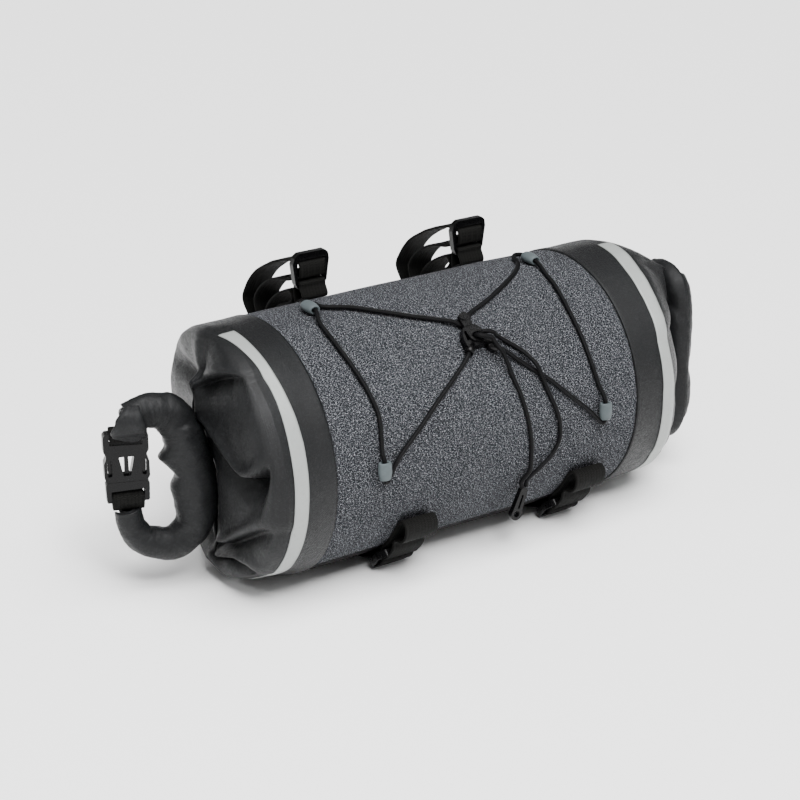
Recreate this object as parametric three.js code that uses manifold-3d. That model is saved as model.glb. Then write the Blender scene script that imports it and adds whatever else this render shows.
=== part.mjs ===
// Bicycle handlebar bag: a tube of fabric, rolled shut and buckled at both ends, with two straps for the
// handlebar and an elastic cord laced over its front panel. Millimetres, +Z up.
//
// In the bag's own group X runs along the bag, -Y is its front and +Y faces the handlebar, and the origin is
// the middle of the front panel, on the axis of the tube. A place on the tube is an angle about that axis, 0
// at the front, 90 on top, 180 at the back and -90 below, and a height above the fabric. At the end of this
// file the group is set so that the model's origin is the middle of its footprint, on the surface it rests
// on.
import * as THREE from 'three';
import { mergeVertices } from 'three/addons/utils/BufferGeometryUtils.js';
import Module from 'manifold-3d';

const wasm = await Module();
wasm.setup();

// Driving dimensions of the fabric tube
const bagRadius = 85;
const panelLength = 239; // front panel, seam to seam
const clothWall = 1.6;
const seamGap = 0.3; // between pieces that touch
const bellyFlat = 2.5; // how far the belly is pressed flat where it rests
const panelLowEdge = -50; // degrees
const panelHighEdge = 128; // degrees
const stripeWidth = 10;
const stripeWall = 0.6;
const leftStripeDistance = 20.5; // seam to stripe
const rightStripeDistance = 25.5;
const leftRimDistance = 35.5; // seam to the edge where the end folds in
const rightRimDistance = 40.5;

// Driving dimensions of the rolled closures
const rollRadius = 13;
const rollLayer = 2.8; // two plies of fabric and the air between them
const rollPitch = 3.9; // from one turn of the roll to the next
const rollTurns = 1.75;
const rollFullness = 1.04; // the standing roll's radius against its arms'
const leftRollDistance = 174.5; // middle of the panel to the standing roll
const rightRollDistance = 206;
const leftRollForward = 0; // how far the roll stands in front of the bag's axis
const rightRollForward = 22;
const leftRingTurn = 20; // degrees that the buckled ring swings to the back
const rightRingTurn = 84;
const mouthHalfGap = 1.6; // half of the slit between the two plies that the roll takes in
const buckleOffset = 41.5; // buckle's middle line from the standing roll
const armEnd = 26.4; // where the ring's upper arm ends, beside the buckle
const armCurl = 25; // how far the lower arm curls up towards the buckle
const armTilt = 1.2; // how much higher the lower arm's end face is at its outer edge than in its middle
const cornerTabThickness = 5;

// Driving dimensions of the hardware
const buckleWidth = 28.5;
const buckleThickness = 7.5;
const buckleLength = 47;
const buckleWall = 1.9;
const closureWebbing = 20;
const webbingThickness = 1.8;
const handlebarWebbing = 20;
const bellyWebbing = 25;
const sliderRim = 3.6; // width of a slider's bars
const sliderThickness = 4.6;
const sliderHeight = 24;
const cordDiameter = 3;
const guideWidth = 9.5;
const guideThickness = 7;
const guideLength = 11.5;
const lockThickness = 5.6;
const clipLength = 25;
const clipWidth = 7.4;
const clipThickness = 3.4;

// Places of the straps along the bag
const leftBuckleX = -58.5;
const rightBuckleX = 69.5;
const leftTabX = -57;
const rightTabX = 81;

const halfPanel = panelLength / 2;
const cordRadius = cordDiameter / 2;
const restZ = -(bagRadius - bellyFlat);
const cordHeight = cordRadius + seamGap + 0.05;
const laidHeight = seamGap + webbingThickness / 2; // middle of webbing that lies on something
const radians = THREE.MathUtils.degToRad;

const blackCloth = new THREE.MeshStandardMaterial({ color: 0x2a2b2e, roughness: 0.5, metalness: 0 });
const greyCloth = new THREE.MeshStandardMaterial({ color: 0x5d6066, roughness: 0.9, metalness: 0 });
const bellyCloth = new THREE.MeshStandardMaterial({ color: 0x1a1b1d, roughness: 0.7, metalness: 0 });
const stripeTape = new THREE.MeshStandardMaterial({ color: 0xb9bcb9, roughness: 0.35, metalness: 0.1 });
const webbing = new THREE.MeshStandardMaterial({ color: 0x18181a, roughness: 0.85, metalness: 0 });
const blackPlastic = new THREE.MeshStandardMaterial({ color: 0x121214, roughness: 0.4, metalness: 0 });
const greyPlastic = new THREE.MeshStandardMaterial({ color: 0x6f787a, roughness: 0.5, metalness: 0 });
const elastic = new THREE.MeshStandardMaterial({ color: 0x0d0d10, roughness: 0.7, metalness: 0 });

const bag = new THREE.Group();
const freeCordPieces = [];

function addPiece(name, geometry, material, parent = bag) {
  const piece = new THREE.Mesh(geometry, material);
  piece.name = name;
  parent.add(piece);
  return piece;
}

// Point on the tube's section at an angle, `height` outside the fabric (inside it where negative)
function sectionPoint(angle, height) {
  const radius = bagRadius + height;
  const y = -radius * Math.cos(radians(angle));
  const z = radius * Math.sin(radians(angle));
  return { y, z: Math.max(z, restZ - height) };
}

function tubePoint(x, angle, height) {
  const { y, z } = sectionPoint(angle, height);
  return new THREE.Vector3(x, y, z);
}

function smoothstep(share) {
  const t = THREE.MathUtils.clamp(share, 0, 1);
  return t * t * (3 - 2 * t);
}

// A closed mesh from a list of triangles' corners, turned over if it faces inward
function closedMesh(corners) {
  let volume = 0;
  for (let i = 0; i < corners.length; i += 3) {
    const [a, b, c] = corners.slice(i, i + 3);
    volume += a.dot(new THREE.Vector3().crossVectors(b, c));
  }
  const positions = [];
  for (let i = 0; i < corners.length; i += 3) {
    const [a, b, c] = corners.slice(i, i + 3);
    const facing = volume > 0 ? [a, b, c] : [a, c, b];
    for (const corner of facing) positions.push(corner.x, corner.y, corner.z);
  }
  const geometry = new THREE.BufferGeometry();
  geometry.setAttribute('position', new THREE.Float32BufferAttribute(positions, 3));
  const merged = mergeVertices(geometry, 1e-4);
  merged.computeVertexNormals();
  return merged;
}

function addQuad(corners, a, b, c, d) {
  corners.push(a, b, c, a, c, d);
}

// Shell between an outer and an inner grid of points, closed along its free borders
function shell(outer, inner, wraps) {
  const rows = outer.length;
  const columns = outer[0].length;
  const lastColumn = wraps ? columns : columns - 1;
  const corners = [];
  for (let i = 0; i < rows - 1; i += 1) {
    for (let j = 0; j < lastColumn; j += 1) {
      const k = (j + 1) % columns;
      addQuad(corners, outer[i][j], outer[i][k], outer[i + 1][k], outer[i + 1][j]);
      addQuad(corners, inner[i][j], inner[i + 1][j], inner[i + 1][k], inner[i][k]);
    }
    if (!wraps) {
      addQuad(corners, outer[i][0], outer[i + 1][0], inner[i + 1][0], inner[i][0]);
      const k = columns - 1;
      addQuad(corners, outer[i][k], inner[i][k], inner[i + 1][k], outer[i + 1][k]);
    }
  }
  for (let j = 0; j < lastColumn; j += 1) {
    const k = (j + 1) % columns;
    const last = rows - 1;
    addQuad(corners, outer[0][j], inner[0][j], inner[0][k], outer[0][k]);
    addQuad(corners, outer[last][j], outer[last][k], inner[last][k], inner[last][j]);
  }
  return closedMesh(corners);
}

function grid(rows, columns, pointAt) {
  return rows.map((row) => columns.map((column) => pointAt(row, column)));
}

function spread(from, to, count) {
  return Array.from({ length: count + 1 }, (unused, i) => from + ((to - from) * i) / count);
}

// Smooth line through a few points of a plane, as a list of finer points, `steps` from each point to the next
function smoothLine(points, steps, closed = false) {
  const curve = new THREE.CatmullRomCurve3(
    points.map(([across, up]) => new THREE.Vector3(across, up, 0)), closed, 'centripetal');
  const line = curve.getPoints(steps * (closed ? points.length : points.length - 1));
  if (closed) line.pop();
  return line;
}

// Flat webbing along a line of the YZ plane; `x` and `endX` are its middle at either end of the line
function ribbon(line, { x, endX = x, width, thickness = webbingThickness, closed = false }) {
  const count = line.length;
  const lengths = [0];
  for (let i = 1; i < count; i += 1) lengths.push(lengths[i - 1] + line[i].distanceTo(line[i - 1]));
  const sides = line.map((point, i) => {
    const before = line[closed ? (i + count - 1) % count : Math.max(i - 1, 0)];
    const after = line[closed ? (i + 1) % count : Math.min(i + 1, count - 1)];
    const along = new THREE.Vector3().subVectors(after, before).normalize();
    const shift = new THREE.Vector3(-along.y, along.x, 0).multiplyScalar(thickness / 2);
    const middle = THREE.MathUtils.lerp(x, endX, smoothstep(lengths[i] / lengths[count - 1]));
    return { middle, left: point.clone().add(shift), right: point.clone().sub(shift) };
  });
  const rows = [-width / 2, width / 2];
  const outer = grid(rows, sides, (w, s) => new THREE.Vector3(s.middle + w, s.left.x, s.left.y));
  const inner = grid(rows, sides, (w, s) => new THREE.Vector3(s.middle + w, s.right.x, s.right.y));
  return shell(outer, inner, closed);
}

// Points of the YZ plane from rows of an angle on the tube and a height above it
function overTube(rows) {
  return rows.map(([angle, height]) => {
    const { y, z } = sectionPoint(angle, height);
    return [y, z];
  });
}

// Line of webbing that lies on the tube from one angle to another
function onTube(fromAngle, toAngle, steps) {
  const height = seamGap + webbingThickness / 2;
  return overTube(spread(fromAngle, toAngle, steps).map((angle) => [angle, height]))
    .map(([y, z]) => new THREE.Vector3(y, z, 0));
}

function flatShape(outline, holes = []) {
  const shape = new THREE.Shape(outline.map(([x, y]) => new THREE.Vector2(x, y)));
  for (const hole of holes) shape.holes.push(new THREE.Path(hole.map(([x, y]) => new THREE.Vector2(x, y))));
  return shape;
}

// Plate of a flat shape, its thickness centred on the shape's plane
function plate(outline, holes, thickness) {
  const geometry = new THREE.ExtrudeGeometry(flatShape(outline, holes), {
    depth: thickness, bevelEnabled: false, curveSegments: 6 });
  geometry.translate(0, 0, -thickness / 2);
  return geometry;
}

// Outline of a box with cut corners, as points
function cutBox(left, right, low, high, cut) {
  return [
    [left + cut, low], [right - cut, low], [right, low + cut], [right, high - cut],
    [right - cut, high], [left + cut, high], [left, high - cut], [left, low + cut],
  ];
}

function oval(x, y, halfWidth, halfHeight, sides) {
  return spread(0, 2 * Math.PI, sides).slice(0, -1)
    .map((turn) => [x + halfWidth * Math.cos(turn), y + halfHeight * Math.sin(turn)]);
}

function toSolid(geometry) {
  const bare = geometry.clone();
  bare.deleteAttribute('normal');
  bare.deleteAttribute('uv');
  const merged = mergeVertices(bare, 1e-4);
  return new wasm.Manifold(new wasm.Mesh({
    numProp: 3,
    vertProperties: new Float32Array(merged.attributes.position.array),
    triVerts: new Uint32Array(merged.index.array),
  }));
}

function toGeometry(solid) {
  const mesh = solid.getMesh();
  const geometry = new THREE.BufferGeometry();
  geometry.setAttribute('position', new THREE.BufferAttribute(new Float32Array(mesh.vertProperties), 3));
  geometry.setIndex(new THREE.BufferAttribute(new Uint32Array(mesh.triVerts), 1));
  geometry.computeVertexNormals();
  return geometry;
}

function carve(whole, added, removed) {
  let solid = toSolid(whole);
  for (const piece of added) solid = solid.add(toSolid(piece));
  for (const piece of removed) solid = solid.subtract(toSolid(piece));
  return toGeometry(solid);
}

// Group standing on the tube: its X runs along the bag, its Y up the fabric and its Z straight out of it
function stationOnTube(x, angle, height) {
  const station = new THREE.Group();
  station.position.copy(tubePoint(x, angle, height));
  station.rotation.x = Math.PI / 2 - radians(angle);
  bag.add(station);
  return station;
}

// Fabric tube: front panel and belly panel
function tubePanel(fromAngle, toAngle, columns) {
  const gapAngle = THREE.MathUtils.radToDeg(seamGap / 2 / bagRadius);
  const rows = spread(-halfPanel + seamGap / 2, halfPanel - seamGap / 2, 2);
  const angles = spread(fromAngle + gapAngle, toAngle - gapAngle, columns);
  const outer = grid(rows, angles, (x, angle) => tubePoint(x, angle, 0));
  const inner = grid(rows, angles, (x, angle) => tubePoint(x, angle, -clothWall));
  return shell(outer, inner, false);
}

addPiece('front_panel', tubePanel(panelLowEdge, panelHighEdge, 30), greyCloth);
addPiece('belly_panel', tubePanel(panelHighEdge, panelLowEdge + 360, 30), bellyCloth);

// Folded ends. The slit that the roll takes in runs from `low` to `high`, and the fold's crest stands out
// past it by `frontRise` at the front and `topRise` on top, all in shares of the tube's radius. `seat` is how
// far the slit stops short of the roll's greatest radius, which a turned roll doesn't show to the slit.
const endForms = {
  left: {
    side: -1, rim: halfPanel + leftRimDistance, roll: leftRollDistance, forward: leftRollForward,
    seat: 0.9, frontRise: 0.115, topRise: 0.28, low: -0.77, high: 0.64,
  },
  right: {
    side: 1, rim: halfPanel + rightRimDistance, roll: rightRollDistance, forward: rightRollForward,
    seat: -0.7, frontRise: 0, topRise: 0, low: -0.75, high: 0.78,
  },
};

// How far the fold has come out (a share of its crest) on its way from the rim, 0, to the slit, 1
const foldProfile = [
  { along: 0, left: 0, right: 0 },
  { along: 0.03, left: 0.45, right: 0.16 },
  { along: 0.1, left: 0.75, right: 0.33 },
  { along: 0.24, left: 0.93, right: 0.52 },
  { along: 0.42, left: 1, right: 0.68 },
  { along: 0.6, left: 1, right: 0.8 },
  { along: 0.76, left: 0.95, right: 0.89 },
  { along: 0.89, left: 0.92, right: 0.95 },
  { along: 1, left: 0.9, right: 1 },
];
const slitPull = 0.72; // where, on the way to the slit, the fold starts to turn in to it

// Valleys pressed into the ends: angle at the rim and at the slit, breadth in degrees, and depth as a share
// of the tube's radius
const foldValleys = {
  left: [
    { rimAngle: 26, slitAngle: 58, breadth: 8, depth: 0.075 },
    { rimAngle: -6, slitAngle: 34, breadth: 9, depth: 0.13 },
    { rimAngle: -30, slitAngle: -52, breadth: 9, depth: 0.07 },
    { rimAngle: -58, slitAngle: -72, breadth: 8, depth: 0.06 },
    { rimAngle: 150, slitAngle: 122, breadth: 9, depth: 0.08 },
    { rimAngle: 186, slitAngle: 160, breadth: 10, depth: 0.1 },
    { rimAngle: 222, slitAngle: 242, breadth: 9, depth: 0.07 },
  ],
  right: [
    { rimAngle: 44, slitAngle: 62, breadth: 9, depth: 0.06 },
    { rimAngle: 8, slitAngle: 20, breadth: 10, depth: 0.08 },
    { rimAngle: -34, slitAngle: -48, breadth: 9, depth: 0.07 },
    { rimAngle: 140, slitAngle: 118, breadth: 10, depth: 0.08 },
    { rimAngle: 178, slitAngle: 178, breadth: 11, depth: 0.09 },
    { rimAngle: 224, slitAngle: 244, breadth: 10, depth: 0.08 },
  ],
};

function turnBetween(angle, other) {
  return THREE.MathUtils.euclideanModulo(angle - other + 180, 360) - 180;
}

function valleyDepth(end, along, angle) {
  const fading = smoothstep(along / 0.3) * smoothstep((1 - along) / 0.25);
  let depth = 0;
  for (const valley of foldValleys[end]) {
    const middle = THREE.MathUtils.lerp(valley.rimAngle, valley.slitAngle, along);
    const away = turnBetween(angle, middle) / valley.breadth;
    depth += valley.depth * bagRadius * Math.exp(-away * away);
  }
  return depth * fading;
}

// Point of a folded end's outer face at one row of the profile and one angle
function foldedPoint(end, row, angle) {
  const form = endForms[end];
  const slitReach = form.roll - rollRadius * rollFullness - form.seat - form.rim;
  const upright = Math.sin(radians(angle)) ** 2;
  const crest = slitReach + THREE.MathUtils.lerp(form.frontRise, form.topRise, upright) * bagRadius;
  const middleZ = ((form.low + form.high) / 2) * bagRadius;
  const halfSlit = ((form.high - form.low) / 2) * bagRadius;
  const rimPoint = sectionPoint(angle, 0);
  const slitY = -form.forward - mouthHalfGap * Math.cos(radians(angle));
  const slitZ = middleZ + halfSlit * Math.sin(radians(angle));
  const pulled = smoothstep((row.along - slitPull) / (1 - slitPull));
  const reach = THREE.MathUtils.lerp(row[end] * crest, slitReach, pulled);
  const x = form.rim + reach - valleyDepth(end, row.along, angle);
  return new THREE.Vector3(
    form.side * x,
    THREE.MathUtils.lerp(rimPoint.y, slitY, row.along),
    THREE.MathUtils.lerp(rimPoint.z, slitZ, row.along));
}

// The fabric's inner face: a grid of points that wraps round the bag, set in by the thickness of the fabric
function setIn(outer, side) {
  const lastRow = outer.length - 1;
  return outer.map((row, i) => row.map((point, j) => {
    const [before, after] = [outer[Math.max(i - 1, 0)][j], outer[Math.min(i + 1, lastRow)][j]];
    const along = new THREE.Vector3().subVectors(after, before);
    const around = new THREE.Vector3().subVectors(row[(j + 1) % row.length], row.at(j - 1));
    const outward = along.cross(around).normalize();
    return point.clone().addScaledVector(outward, -side * clothWall);
  }));
}

const angleStep = 10;
const roundAngles = spread(-90, 270, 360 / angleStep).slice(0, -1);

function foldedEnd(end) {
  const form = endForms[end];
  const tubeRows = spread(halfPanel + seamGap / 2, form.rim, 2).slice(0, -1);
  const outer = [
    ...grid(tubeRows, roundAngles, (x, angle) => tubePoint(form.side * x, angle, 0)),
    ...grid(foldProfile, roundAngles, (row, angle) => foldedPoint(end, row, angle)),
  ];
  return shell(outer, setIn(outer, form.side), true);
}

// Reflective stripe on an end, leaning outward over its top
function stripe(end) {
  const side = endForms[end].side;
  const start = halfPanel + (side < 0 ? leftStripeDistance : rightStripeDistance);
  const angles = roundAngles.filter((angle) => angle >= -75 && angle < 95);
  const lean = (angle) => 0.45 * stripeWidth * smoothstep((angle - 48) / 40);
  const edges = [start, start + stripeWidth];
  const surface = (height) => grid(edges, angles, (x, angle) => tubePoint(
    side * (x + lean(angle)), angle, height));
  return shell(surface(seamGap + stripeWall), surface(seamGap), false);
}

for (const end of ['left', 'right']) {
  addPiece(`${end}_end`, foldedEnd(end), blackCloth);
  addPiece(`${end}_stripe`, stripe(end), stripeTape);
}

// Rolled closures. In a closure's group X runs from the standing roll out through the ring to the buckle, Z
// is up and the origin is the middle of the standing roll. `top` and `low` are the heights of the ring's two
// arms, and `buckleTop` that of the buckle's upper edge.
const closures = {
  left: {
    place: [-leftRollDistance, -leftRollForward], heading: 180 - leftRingTurn,
    top: 38.5, low: -53, buckleTop: 32.5,
  },
  right: {
    place: [rightRollDistance, -rightRollForward], heading: rightRingTurn,
    top: 56, low: -53, buckleTop: 46,
  },
};

// Section of the roll as a flat spiral of fabric, seen along the roll
function spiralSection() {
  const stepsPerTurn = 8;
  const turns = spread(0, rollTurns, Math.round(rollTurns * stepsPerTurn));
  const pointAt = (turn, radius) => [
    radius * Math.cos(turn * 2 * Math.PI), radius * Math.sin(turn * 2 * Math.PI)];
  const outside = turns.map((turn) => pointAt(turn, rollRadius - rollPitch * turn));
  const inside = turns.map((turn) => pointAt(turn, rollRadius - rollPitch * turn - rollLayer));
  return [...outside, ...inside.reverse()];
}

// Solid along a line of the XZ plane; `sizes` scales the section at each point that the line is drawn through
function sweep(points, sizes, section, steps) {
  const line = smoothLine(points, steps);
  const lastRing = line.length - 1;
  const triangles = THREE.ShapeUtils.triangulateShape(section.map(([a, b]) => new THREE.Vector2(a, b)), []);
  const rings = line.map((point, i) => {
    const before = line[Math.max(i - 1, 0)];
    const after = line[Math.min(i + 1, lastRing)];
    const along = new THREE.Vector3().subVectors(after, before).normalize();
    const place = (i / lastRing) * (sizes.length - 1);
    const low = Math.min(Math.floor(place), sizes.length - 2);
    const size = THREE.MathUtils.lerp(sizes[low], sizes[low + 1], place - low);
    return section.map(([across, deep]) => new THREE.Vector3(
      point.x + size * across * along.y, size * deep, point.y - size * across * along.x));
  });
  const corners = [];
  for (let i = 0; i < lastRing; i += 1) {
    for (let j = 0; j < section.length; j += 1) {
      const k = (j + 1) % section.length;
      addQuad(corners, rings[i][j], rings[i][k], rings[i + 1][k], rings[i + 1][j]);
    }
  }
  for (const [a, b, c] of triangles) {
    corners.push(rings[0][a], rings[0][c], rings[0][b]);
    corners.push(rings[lastRing][a], rings[lastRing][b], rings[lastRing][c]);
  }
  return closedMesh(corners);
}

// The upper arm ends beside the buckle and the lower arm curls up under it
function rolledBar({ top, low }) {
  const bend = rollRadius * 0.42;
  const line = [
    [armEnd, top + 0.5], [armEnd * 0.6, top + 0.5], [bend, top - bend * 0.7], [0, top - bend * 3],
    [0, (top + low) / 2], [0, low + bend * 3], [bend, low + bend * 0.7], [buckleOffset * 0.45, low],
    [buckleOffset * 0.78, low + rollRadius * 0.42], [buckleOffset * 0.97, low + armCurl * 0.55],
    [buckleOffset, low + armCurl],
  ];
  const sizes = [0.9, 0.95, 1, 1, rollFullness, rollFullness, 1, 0.96, 0.88, 0.78, 0.68];
  return sweep(line, sizes, spiralSection(), 1);
}

// Side-release buckle. Its middle is the group's origin, X its width, Z its length and Y its thickness.
const socketLength = buckleLength * 0.7;
const socketLow = buckleLength / 2 - socketLength;
const slotHeight = 5;
const slotReach = closureWebbing / 2 + 0.4; // half of a webbing slot's width
const barHeight = 3.4;
const tongueThickness = buckleThickness - 2 * buckleWall - 2 * seamGap;

function standing(geometry) {
  return geometry.rotateX(Math.PI / 2);
}

function webbingSlot(low) {
  return plate(cutBox(-slotReach, slotReach, low, low + slotHeight, 0.3), [], buckleThickness + 1);
}

function buckleSocket() {
  const half = buckleWidth / 2;
  const high = buckleLength / 2;
  const body = plate(cutBox(-half, half, socketLow, high, 2.2), [], buckleThickness);
  const hollow = half - buckleWall;
  const cavityTop = high - barHeight - slotHeight - barHeight;
  const cavity = plate(
    cutBox(-hollow, hollow, socketLow - 1, cavityTop, 0.4), [], buckleThickness - 2 * buckleWall);
  const windowLow = socketLow + 4;
  const windowHigh = socketLow + 17;
  const middleWindow = plate(
    [[-2.2, windowLow], [2.2, windowLow], [4.6, windowHigh], [-4.6, windowHigh]], [], buckleThickness + 1);
  const sides = [-1, 1].map((side) => {
    const reach = [side * (half - 5.6), side * (half + 1)];
    const outline = cutBox(Math.min(...reach), Math.max(...reach), windowLow - 0.5, windowHigh - 1, 1.4);
    return plate(outline, [], buckleThickness + 1);
  });
  const slot = webbingSlot(high - barHeight - slotHeight);
  return standing(carve(body, [], [cavity, slot, middleWindow, ...sides]));
}

// Foot with a bar for the webbing, a middle rib, and two arms whose tips lie in the socket's side windows
function bucklePlug() {
  const low = -buckleLength / 2;
  const half = buckleWidth / 2;
  const footTop = socketLow - seamGap;
  const foot = plate(cutBox(-half + 0.6, half - 0.6, low, footTop, 1.6), [], buckleThickness - 0.8);
  const rib = plate(
    [[-1.6, footTop - 1], [1.6, footTop - 1], [1.2, socketLow + 19], [-1.2, socketLow + 19]],
    [], tongueThickness);
  const armOutline = [
    [5.4, footTop - 1], [3.4, footTop - 1], [2.6, socketLow + 8], [2.6, socketLow + 15],
    [5.2, socketLow + 17.5], [5.2, socketLow + 9],
  ];
  const arms = [-1, 1].map((side) => plate(
    armOutline.map(([fromEdge, along]) => [side * (half - fromEdge), along]), [], tongueThickness));
  return standing(carve(foot, [rib, ...arms], [webbingSlot(low + barHeight)]));
}

// Half turn of webbing around a bar, from its one face over its edge to the other: rows of a place across the
// bar, positive past its edge, and a place through it
function aroundBar(halfWidth, halfThickness) {
  const past = halfWidth + laidHeight + 0.1;
  const out = halfThickness + laidHeight + 0.1;
  return [[0, -out], [past * 0.84, -out * 0.95], [past, 0], [past * 0.84, out * 0.95], [0, out]];
}

// Webbing sewn into a loop around a bar of the buckle. `bar` is the height of the bar's middle and `far` that
// of the loop's other end, whose two plies lie `farHalf` from the middle.
function barLoop(bar, far, farHalf) {
  const up = Math.sign(far - bar);
  const half = buckleThickness / 2 + laidHeight + 0.1;
  const shoulder = bar + up * (barHeight / 2 + seamGap);
  const turn = aroundBar(barHeight / 2, buckleThickness / 2).map(([past, out]) => [out, bar - up * past]);
  const end = [[farHalf, far], [0, far], [-farHalf, far]];
  const points = [...turn, [half, shoulder], ...end, [-half, shoulder]];
  return ribbon(smoothLine(points, 2, true), { x: 0, width: closureWebbing, closed: true });
}

// Stiff end of the rolled fabric beside the upper arm, folded down over the buckle's top bar
function cornerTab(low, high) {
  const inner = -buckleOffset + armEnd + seamGap + 0.1;
  const outer = buckleWidth / 2 + 0.8;
  const outline = [
    [inner, low], [outer, low], [outer, low + 5], [outer - 6, high - 2], [outer - 11, high], [inner, high],
  ];
  return standing(plate(outline, [], cornerTabThickness));
}

for (const [end, closure] of Object.entries(closures)) {
  const group = new THREE.Group();
  group.position.set(closure.place[0], closure.place[1], 0);
  group.rotation.z = radians(closure.heading);
  bag.add(group);
  addPiece(`${end}_roll`, rolledBar(closure), blackCloth, group);

  const buckle = new THREE.Group();
  const buckleMiddle = closure.buckleTop - buckleLength / 2;
  buckle.position.set(buckleOffset, 0, buckleMiddle);
  group.add(buckle);
  addPiece(`${end}_buckle_socket`, buckleSocket(), blackPlastic, buckle);
  addPiece(`${end}_buckle_plug`, bucklePlug(), blackPlastic, buckle);

  const topBar = (buckleLength - barHeight) / 2;
  const loopTop = buckleLength / 2 + laidHeight + 0.2;
  const loopLow = closure.low + armCurl + laidHeight + armTilt - buckleMiddle;
  const tabHigh = closure.top + rollRadius - 1 - buckleMiddle;
  addPiece(`${end}_corner_tab`, cornerTab(loopTop + laidHeight + 0.3, tabHigh), blackCloth, buckle);
  addPiece(`${end}_top_webbing`, barLoop(topBar, loopTop, buckleThickness * 0.53), webbing, buckle);
  addPiece(`${end}_low_webbing`, barLoop(-topBar, loopLow, 1.4), webbing, buckle);
}

// Cord guides, each a barrel with a bore along the fabric
const guides = {
  top_left: { x: -88, angle: 87 },
  top_right: { x: 88, angle: 87 },
  bottom_left: { x: -87, angle: 3.7 },
  bottom_right: { x: 89, angle: 3.4 },
};

function cordGuide() {
  const half = guideLength / 2;
  const wide = guideWidth / 2;
  const bore = cordRadius + 1.6;
  const profile = [
    [bore, -half], [wide * 0.82, -half], [wide, -half * 0.4], [wide, half * 0.5], [wide * 0.86, half],
    [bore, half], [bore, -half],
  ].map(([radius, along]) => new THREE.Vector2(radius, along));
  const geometry = new THREE.LatheGeometry(profile, 12);
  geometry.scale(1, 1, guideThickness / guideWidth);
  geometry.deleteAttribute('normal');
  geometry.deleteAttribute('uv');
  return mergeVertices(geometry, 1e-4);
}

for (const [name, place] of Object.entries(guides)) {
  const station = stationOnTube(place.x, place.angle, seamGap + guideThickness / 2 + 0.1);
  addPiece(`${name}_guide`, cordGuide(), greyPlastic, station);
}

// Strap hardware: the handlebar strap's slider stands on top, the belly strap's slider lies low at the front.
// A slider's own X is its width and its Y points to its upper bar.
function slider(width) {
  const half = sliderHeight / 2;
  const side = width / 2 + seamGap + 0.4;
  const outside = side + sliderRim;
  const slotHeight = (sliderHeight - 3 * sliderRim) / 2;
  const slots = [sliderRim / 2, -sliderRim / 2 - slotHeight]
    .map((low) => cutBox(-side, side, low, low + slotHeight, 0.3));
  return plate(cutBox(-outside, outside, -half, half, 3), slots, sliderThickness);
}

const [topSliderMiddle, lowSliderMiddle] = overTube([[114.85, 19.7], [-54.3, 6.5]]); // y and z
const lowSliderSlope = 134.4; // degrees from +Y to the slider's upper bar

// Line of webbing over a slider: rows of a place up the slider and a place out of its face
function overSlider(rows, middle, slope) {
  const up = [Math.cos(radians(slope)), Math.sin(radians(slope))];
  return rows.map(([along, out]) => [
    middle[0] + along * up[0] - out * up[1], middle[1] + along * up[1] + out * up[0]]);
}

const straps = {
  left: { buckleX: leftBuckleX, tabX: leftTabX },
  right: { buckleX: rightBuckleX, tabX: rightTabX },
};
const overBar = sliderThickness / 2 + laidHeight;
const upperBar = (sliderHeight - sliderRim) / 2;

// Loop of webbing for the handlebar, through its slider and back inside as a loose tail
function handlebarStrapLine() {
  const loop = [
    [152, laidHeight], [147, laidHeight + 1.5], [157.3, 14.7], [158, 27.2], [156.8, 36.9], [154.5, 44.4],
    [149.6, 45.1], [144.1, 42.8], [137, 38], [127.3, 31.2], [120.4, 27.7],
  ];
  const through = overSlider([
    [3.7, -5], [3.6, 0], [2.8, overBar * 0.92], [0, overBar + 0.2], [-2.9, overBar * 0.92], [-4, 0],
    [-4.6, -5],
  ], topSliderMiddle, 90);
  const tail = [
    [121.9, 16.3], [125.2, 12.2], [129.8, 11.9], [133.9, 8.7], [138.8, 10.7], [144.7, 9.3], [148.7, 13.3],
  ];
  return [...onTube(170, 154, 3), ...smoothLine([...overTube(loop), ...through, ...overTube(tail)], 2)];
}

// Short loop of webbing that holds the slider's lower bar to the top of the bag
function strapAnchorLine() {
  const turn = aroundBar(sliderRim / 2, sliderThickness / 2).map(([past, out]) => [past - upperBar, -out]);
  const ring = overSlider(turn, topSliderMiddle, 90);
  const laid = overTube([[122.5, laidHeight + 0.4], [119, laidHeight + 0.2], [115.5, laidHeight + 0.6]]);
  return smoothLine([...ring, ...laid], 2, true);
}

// Belly strap: over the middle bar of its slider, under the belly and up the back
function bellyStrapLine() {
  const threaded = overSlider([
    [0.4, -overBar - 0.3], [2.6, -overBar * 0.86], [3.5, 0], [2.6, overBar * 0.9], [0, overBar + 0.2],
    [-2.8, overBar * 0.9], [-4.2, 0], [-6.4, -overBar * 0.9],
  ], lowSliderMiddle, lowSliderSlope);
  return [...smoothLine([...threaded, ...overTube([[-67, laidHeight + 1], [-71, laidHeight]])], 2),
    ...onTube(-75, -189, 20)];
}

// Tab of webbing sewn to the front panel: a fat fold on top, then round the slider's upper bar
function frontTabLine() {
  const turn = aroundBar(sliderRim / 2, sliderThickness / 2).map(([past, out]) => [upperBar - past, out]);
  const round = overSlider(turn, lowSliderMiddle, lowSliderSlope);
  return smoothLine([...round, ...overTube([
    [-39, 9.2], [-33, 8], [-29, 10.2], [-24, 11.2], [-19.5, 9], [-18, 5], [-20, laidHeight + 0.4],
    [-26, laidHeight], [-34, laidHeight], [-41, laidHeight],
  ])], 2, true);
}

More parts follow.
